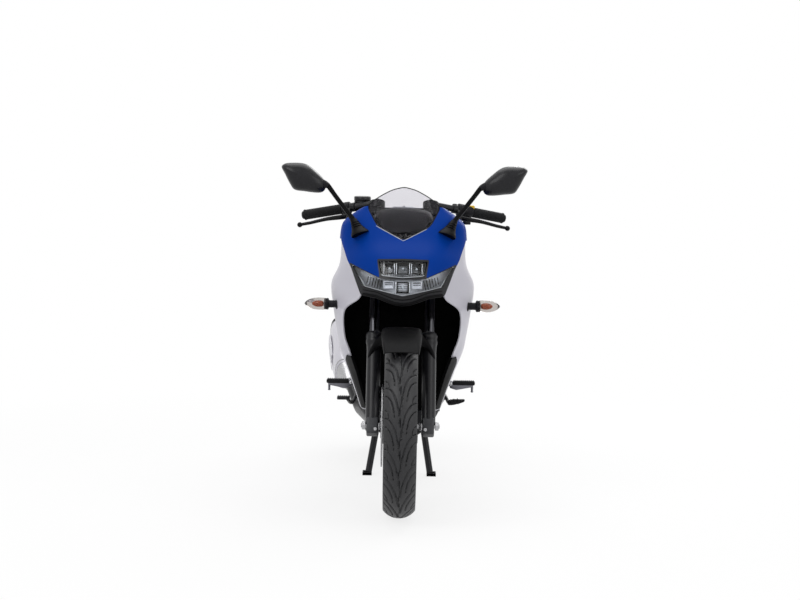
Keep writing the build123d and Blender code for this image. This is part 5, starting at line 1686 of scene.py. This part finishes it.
for x, z in ((182, 283), (194, 285), (206, 287)):
    control_parts.append(paint(lathe("toe_rib", [(-1.4, 10.6), (0, 11.6), (1.4, 10.6)], at(x, 708, z),
        Vector((1, 0, 0.16)), 24), "rubber"))
for side, d, z in ((-1, 862, 296), (1, 860, 302)):
    control_parts.append(paint(lathe("hub", [(0, 11), (44, 11), (46, 9)], at(side * 112.5, d, z),
        outward(side), 24), "peg_metal"))
control_parts.append(paint(tube("link", [at(160, 846, 296), at(150, 816, 272), at(128, 780, 262)], 4, 10),
    "steel"))
for x, d, z in ((160, 846, 296), (130, 783, 263)):
    control_parts.append(paint(lathe("joint", [(-5, 5), (-4, 7), (4, 7), (5, 5)], at(x, d, z), ACROSS,
        16), "steel"))
assemble("pedals", control_parts, "chassis", ["foot_controls"], "black_alloy", 40)


# ---- belly pan ----
def pan_ring(z, front, wide, rear, wall=0.0):
    half = [(front[0] - wall, front[1] + wall), (wide[0] - wall, wide[1]), (rear[0] - wall, rear[1] - wall)]
    return [at(x, d, z) for x, d in rounded(half + [(-x, d) for x, d in reversed(half)], 12)]


pan_top = ((116, 345), (132, 384), (152, 720))
pan_middle = ((90, 372), (104, 400), (112, 700))
pan_floor = ((50, 392), (60, 420), (64, 670))
pan = rings_mesh("belly_pan", [pan_ring(204, *pan_floor, 5), pan_ring(238, *pan_middle, 4),
    pan_ring(300, *pan_top, 4), pan_ring(300, *pan_top, 0.6), pan_ring(298, *pan_top),
    pan_ring(290, *((x - 2, d + 1) for x, d in pan_top)), pan_ring(236, *pan_middle),
    pan_ring(206, *((x + 3, d) for x, d in pan_floor)), pan_ring(201, *pan_floor),
    pan_ring(200, *pan_floor, 4)])
place(pan, "chassis", "plastic", ["lower_cowl"], "black_plastic", 40)


# ---- side panel details ----
def side_x(d, z):
    """How far out the side panel's skin is."""
    levels = list(reversed(side_table))
    return float(np.interp(z, [row[0] for row in levels],
        [np.interp(d, [p[1] for p in row[1:]], [p[0] for p in row[1:]]) for row in levels]))


for side, word in SIDES:
    slats = []
    # Columns: z, middle d, length.
    for z, middle, length in ((525, 463, 134), (550, 470, 164), (575, 465, 168), (600, 449, 156),
        (622, 462, 96)):
        slat = brick("slat", at(side * (side_x(middle, z) - 17), middle, z), (3, length, 22), 1.2,
                     Matrix.Rotation(math.radians(side * 30), 3, "Y"))
        slats.append(paint(slat, "plastic"))
    assemble("vent_slats_" + word, slats, "chassis", slot="black_plastic", angle=40)
    # A near-black sheet inside each side panel's front opening: painted shade for the fairing's dark inside.
    rows = []
    for z in np.linspace(310, 788, 18):
        d = float(np.interp(z, [306, 430, 640, 790], [360, 316, 314, 346]))
        rows.append([at(side * 100, d, z), at(side * (side_x(d, z) - 6), d, z)])
    place(thicken(sheet_mesh("shade_liner_" + word, rows), 3, 0.0), "chassis", "ink", slot="black_plastic")
    spots = []
    for d, z in ((250, 800), (560, 640), (640, 360), (430, 350)):
        spots.append(paint(lathe("fastener", [(-3, 8), (0.6, 8), (1.8, 6.5), (1.8, 3.4), (0.6, 3),
            (0.6, 0.5)], at(side * (side_x(d, z) + 0.5), d, z), outward(side), 20), "satin_black"))
    assemble("panel_fasteners_" + word, spots, "chassis", slot="black_plastic", angle=40)

    cover = prism("side_cover_" + word,
        rounded([(800, 764), (1072, 764), (1072, 716), (960, 676), (850, 636), (808, 690)], 14),
        side * 104, side * 110, "side")
    ridge = prism("ridge", rounded([(822, 748), (1052, 750), (1054, 726), (950, 692), (862, 662),
        (830, 694)], 12), side * 108, side * 112, "side")
    soften(cover, 1.6)
    soften(ridge, 1.6)
    pieces = [paint(cover, "plastic"), paint(ridge, "plastic")]
    pieces.append(paint(lathe("post", [(0, 8), (40, 8)], at(side * 70, 920, 744), outward(side), 16),
        "plastic"))
    for d, z in ((838, 676), (1058, 738)):
        pieces += bolt(at(side * 110, d, z), outward(side), 4.4, 3)
    assemble("side_trim_" + word, pieces, "chassis", ["side_covers"] if side == 1 else (),
        "black_plastic", 40)


# ---- chain and sprockets ----
def chain_path(count, front=36.0, rear=94.0):
    """Evenly spaced places round both sprockets, as (d, z)."""
    front_middle, rear_middle = Vector(FRONT_SPROCKET), Vector((WHEELBASE, REAR_AXLE_Z))
    span = rear_middle - front_middle
    lean = math.atan2(span.y, span.x)
    opening = math.acos((front - rear) / span.length)
    outline = []
    for middle, radius, start, end in ((front_middle, front, lean + opening, lean + math.tau - opening),
                                       (rear_middle, rear, lean - opening, lean + opening)):
        for angle in np.linspace(start, end, 40):
            outline.append(middle + Vector((math.cos(angle), math.sin(angle))) * radius)
    outline.append(outline[0])
    lengths = np.concatenate([[0],
        np.cumsum([(outline[i + 1] - outline[i]).length for i in range(len(outline) - 1)])])
    places = np.linspace(0, lengths[-1], count, endpoint=False)
    return [Vector((float(np.interp(s, lengths, [p.x for p in outline])),
        float(np.interp(s, lengths, [p.y for p in outline])))) for s in places]


def chain_mesh(name, count=128):
    vertices, faces = [], []

    def slab(points, x0, x1):
        start = len(vertices)
        size = len(points)
        vertices.extend(at(x0, p.x, p.y) for p in points)
        vertices.extend(at(x1, p.x, p.y) for p in points)
        faces.append(list(range(start, start + size)))
        faces.append(list(range(start + size * 2 - 1, start + size - 1, -1)))
        for i in range(size):
            k = (i + 1) % size
            faces.append([start + i, start + k, start + size + k, start + size + i])

    path = chain_path(count)
    for i, here in enumerate(path):
        there = path[(i + 1) % count]
        way = (there - here).normalized()
        off = Vector((-way.y, way.x))
        plate = [here - way * 4.4, here - way * 3 + off * 4.2, here + off * 5,
            (here + there) / 2 + off * 3.4, there + off * 5, there + way * 3 + off * 4.2,
            there + way * 4.4, there + way * 3 - off * 4.2, there - off * 5,
            (here + there) / 2 - off * 3.4, here - off * 5, here - way * 3 - off * 4.2]
        inner = 3.2 if i % 2 else 2.0
        for side in (-1, 1):
            slab(plate, CHAIN_X + side * inner, CHAIN_X + side * (inner + 1.1))
        slab([here + Vector((math.cos(a), math.sin(a))) * 3.8 for a in np.linspace(0, math.tau, 9)[:-1]],
            80.6, 85.4)
        slab([here + Vector((math.cos(a), math.sin(a))) * 1.8 for a in np.linspace(0, math.tau, 7)[:-1]],
            78, 88)
    return new_object(name, vertices, faces)


place(chain_mesh("chain_links"), "chassis", "chain", ["chain"], "bare_steel", 30)


def sprocket(name, centre_d, centre_z, x0, x1, teeth, root, tip, holes=0, hole_ring=55.0, hole=12.0,
    bore=10.0):
    """A toothed plate with lightening holes."""
    outline = []
    for i in range(teeth):
        for share, radius in ((-0.5, root), (-0.24, root + (tip - root) * 0.5), (-0.1, tip), (0.1, tip),
                              (0.24, root + (tip - root) * 0.5)):
            angle = math.tau * (i + share) / teeth
            outline.append((centre_d + radius * math.cos(angle), centre_z + radius * math.sin(angle)))
    plate = prism(name, outline, x0, x1, "side")
    cuts = [(0.0, 0.0, bore)] + [(hole_ring * math.cos(math.tau * i / holes),
        hole_ring * math.sin(math.tau * i / holes), hole) for i in range(holes)]
    for d, z, radius in cuts:
        cut = lathe("cut", [(-20, radius), (20, radius)], at((x0 + x1) / 2, centre_d + d, centre_z + z),
            ACROSS, 24)
        combine(plate, cut, "DIFFERENCE")
    return paint(plate, "steel")


rear_parts = [sprocket("sprocket_rear", WHEELBASE, REAR_AXLE_Z, SPROCKET_INNER, SPROCKET_OUTER, 45, 78.5,
    84.5, 6, 56, 12, 34)]
rear_parts += bolt_ring(at(SPROCKET_OUTER, WHEELBASE, REAR_AXLE_Z), 1, 42, 6, 5.4, math.pi / 6)
assemble("sprocket_rear", rear_parts, "rear_wheel", ["rear_sprocket"], "bare_steel", 30)
front_parts = [sprocket("sprocket_front", *FRONT_SPROCKET, SPROCKET_INNER, SPROCKET_OUTER, 14, 29, 36, 0)]
front_parts.append(paint(lathe("shaft", [(0, 12), (24, 12), (25, 10)], at(67, *FRONT_SPROCKET), ACROSS,
    24), "steel"))
front_parts += bolt(at(SPROCKET_OUTER, *FRONT_SPROCKET), ACROSS, 11, 6)
assemble("sprocket_front", front_parts, "chassis", ["front_sprocket"], "bare_steel", 30)


# ---- swingarm ends, shock and rear brake ----
arm_parts = []
for side in (-1, 1):
    for d in (1362, 1386):
        arm_parts += bolt(at(side * 135, d, 313), outward(side), 5, 4)
    plate = prism("adjuster", rounded([(1312, 330), (1380, 326), (1380, 298), (1312, 296)], 6),
        side * 135, side * 138, "side")
    arm_parts.append(paint(soften(plate, 0.8), "steel"))
    arm_parts.append(paint(lathe("screw", [(0, 4), (22, 4), (22, 6.5), (27, 6.5), (28, 5), (28, 0.5)],
                                 at(side * 120, 1376, 312), Vector((0, 1, 0)), 6), "steel"))
assemble("chain_adjusters", arm_parts, "chassis", slot="bare_steel", angle=40)

shock_low, shock_high = at(0, 896, 368), at(0, 836, 640)
shock_way = (shock_high - shock_low).normalized()
shock_length = (shock_high - shock_low).length / MM
shock_side = shock_way.cross(ACROSS).normalized()
turns = 7.5
helix = []
for i in range(int(turns * 14) + 1):
    angle = math.tau * i / 14
    rise = 70 + (shock_length - 118) * i / (turns * 14)
    helix.append(shock_low + shock_way * rise * MM
                 + (ACROSS * math.cos(angle) + shock_side * math.sin(angle)) * 25 * MM)
shock_parts = [paint(tube("spring", helix, 5, 10, smooth=False), "yellow")]
shock_parts.append(paint(lathe("damper", [(0, 14), (18, 15), (20, 21), (52, 21), (56, 24), (62, 30),
    (68, 30), (68, 20), (150, 19), (150, 9), (shock_length - 52, 9), (shock_length - 50, 30),
    (shock_length - 43, 30), (shock_length - 40, 20), (shock_length - 8, 18), (shock_length, 12)],
    shock_low, shock_way, 40), "satin_black"))
shock_parts.append(paint(lathe("tie", [(-82, 12), (82, 12)], at(0, 824, 652), ACROSS, 24), "satin_black"))
assemble("shock_unit", shock_parts, "chassis", ["rear_shock"], "black_frame", 40)

brake_parts = []
for x0, x1 in ((-102, -88), (-76, -66)):
    half = prism("half", rounded([(1226, 392), (1272, 402), (1290, 372), (1266, 338), (1236, 346)], 10),
        x0, x1, "side")
    soften(half, 2.4)
    brake_parts.append(paint(half, "grey_block"))
bridge = brick("bridge", at(-84, 1230, 386), (30, 12, 22), 3)
brake_parts.append(paint(bridge, "grey_block"))
for d, z in ((1244, 382), (1270, 360)):
    brake_parts += bolt(at(-102, d, z), Vector((-1, 0, 0)), 5, 3)
brake_parts.append(paint(brick("carrier", at(-95, 1256, 350), (10, 26, 24), 3), "grey_block"))
assemble("caliper_rear", brake_parts, "chassis", slot="black_alloy", angle=40)


# ---- front caliper ----
pad_parts = []
for x0, x1 in ((-88, -66), (-54, -46)):
    half = prism("half", rounded([(60, 352), (112, 346), (124, 372), (118, 414), (84, 420), (58, 398)],
        12), x0, x1, "side")
    soften(half, 3)
    pad_parts.append(paint(half, "grey_block"))
pad_parts.append(paint(brick("bridge", at(-62, 116, 392), (36, 12, 30), 3), "grey_block"))
for d, z in ((76, 366), (104, 366), (90, 404)):
    pad_parts.append(paint(lathe("piston", [(0, 12), (3, 12), (4, 10), (4, 6), (2, 5), (2, 0.5)],
        at(-87, d, z), Vector((-1, 0, 0)), 24), "satin_black"))
for d, z in ((68, 396), (112, 384)):
    pad_parts += bolt(at(-88, d, z), Vector((-1, 0, 0)), 4.6, 3)
pad_parts.append(paint(lathe("bleed", [(0, 3.5), (6, 3.5), (6, 5), (10, 5), (11, 2.6), (14, 2.4),
    (14.4, 0.5)], at(-74, 100, 419), Vector((0, 0.2, 1)), 12), "steel"))
assemble("caliper_front", pad_parts, "steering", ["front_caliper"], "black_alloy", 40)


# ---- rear end ----
def tail_lens(d, half, bottom, top):
    middle = (bottom + top) / 2
    corners = [(half * 0.7, bottom), (half, middle), (half * 0.86, top)]
    outline = corners + [(-x, z) for x, z in reversed(corners)]
    return [at(x, d, z) for x, z in rounded(outline, 6)]


lens_parts = [paint(rings_mesh("lens", [tail_lens(1474, 46, 848, 878), tail_lens(1490, 41, 850, 876),
    tail_lens(1499, 37, 853, 874), tail_lens(1502, 32, 856, 871)]), "red_lens")]
for i in range(7):
    bar = brick("bar", at(-24 + 8 * i, 1501, 864), (5.4, 3, 10), 1.2)
    lens_parts.append(paint(bar, "red_lens"))
assemble("tail_light", lens_parts, "chassis", ["tail_lamp"], "red_lens", 40)


def rear_indicator(side):
    return stack(at(side * 86, 1520, 744), Vector((side, 0.09, 0)).normalized(),
        (("shell", [(0, 10), (2, 13), (12, 14), (30, 13.6), (44, 12), (56, 8.4), (62, 4), (64, 0.5)], 36,
        "screen"), ("heart", [(8, 1), (9, 5), (22, 7), (34, 6), (42, 2), (43, 0.5)], 36, "amber"),
        ("rim", [(-3, 9), (-2, 13.4), (2, 13.8), (3, 12)], 36, "plastic"),
        ("stalk", [(-34, 9), (-30, 6.6), (-22, 6), (-20, 7), (-17, 6), (-14, 7), (-11, 6), (-8, 7),
        (-3, 8)], 36, "plastic")))


assemble("indicators_rear", rear_indicator(1) + rear_indicator(-1), "chassis", ["rear_indicators"],
    "black_plastic", 40)

plate_way = Vector((0, 176, 140)).normalized()
plate_up = Vector((0, -140, 176)).normalized()
plate_middle = at(0, 1630, 628)


def on_plate(x, up, out):
    return plate_middle + Vector((x, 0, 0)) * MM + plate_up * up * MM + plate_way * out * MM


rear_details = []
for x in (-70, 70):
    rear_details += bolt(on_plate(x, 44, 2), plate_way, 4.4, 2.6)
reflector = lathe("reflector", [(-3, 20), (2, 20), (4, 18), (4.6, 12), (4.6, 0.5)], on_plate(0, -92, 2),
    plate_way, 40)
rear_details.append(paint(reflector, "red_lens"))
plate_turn = Matrix((ACROSS, -plate_way, plate_up)).transposed()
lamp_box = brick("lamp_box", on_plate(0, 78, 6), (46, 18, 14), 3, plate_turn)
rear_details.append(paint(lamp_box, "plastic"))
rear_details.append(paint(brick("lamp_glass", on_plate(0, 70.5, 6), (34, 12, 3), 1, plate_turn), "screen"))
assemble("plate_details", rear_details, "chassis", slot="black_plastic", angle=40)


# ---- hugger and stands ----
hugger_rows = []
for degrees in np.linspace(84, 152, 25):
    angle = math.radians(degrees)
    row = []
    for share in (-1, -0.97, -0.86, -0.6, -0.3, 0, 0.3, 0.6, 0.86, 0.97, 1):
        reach = 315 - 9 * max(0, abs(share) - 0.8) / 0.2 * 0.9
        row.append(at(60 * share, WHEELBASE + reach * math.cos(angle), REAR_AXLE_Z + reach * math.sin(angle)))
    hugger_rows.append(row)
hugger_parts = [paint(thicken(sheet_mesh("hugger", hugger_rows), 3, 0.0), "plastic")]
for side in (-1, 1):
    hugger_parts.append(paint(brick("wing", at(side * 82, 1068, 473), (48, 20, 6), 2), "plastic"))
    hugger_parts.append(paint(brick("leg", at(side * 103, 1068, 402), (6, 20, 140), 2), "plastic"))
    hugger_parts += bolt(at(side * 106, 1068, 350), outward(side), 4.4, 3)
assemble("hugger_skin", hugger_parts, "chassis", ["rear_hugger"], "black_plastic", 50)


def spring(name, start, end, radius=6.0, turns=16):
    way = (end - start).normalized()
    over = way.orthogonal().normalized()
    third = way.cross(over)
    length = (end - start).length
    coils = [(i, math.tau * i / 8) for i in range(turns * 8 + 1)]
    points = [start + way * length * (0.12 + 0.76 * i / (turns * 8))
              + (over * math.cos(angle) + third * math.sin(angle)) * radius * MM for i, angle in coils]
    return paint(tube(name, [start] + points + [end], 1.1, 6, smooth=False), "steel")


place(spring("side_stand_spring", at(128, 744, 262), at(138, 850, 266), 5), "side_stand", None,
    slot="bare_steel")
sole_parts = []
for side in (-1, 1):
    sole_parts.append(paint(brick("sole", at(side * 117, 802, 6), (34, 46, 12), 2.4), "satin_black"))
    sole_parts += bolt(at(side * 83, 830, 235), outward(side), 8, 5)
assemble("centre_stand_soles", sole_parts, "centre_stand", slot="black_frame", angle=40)
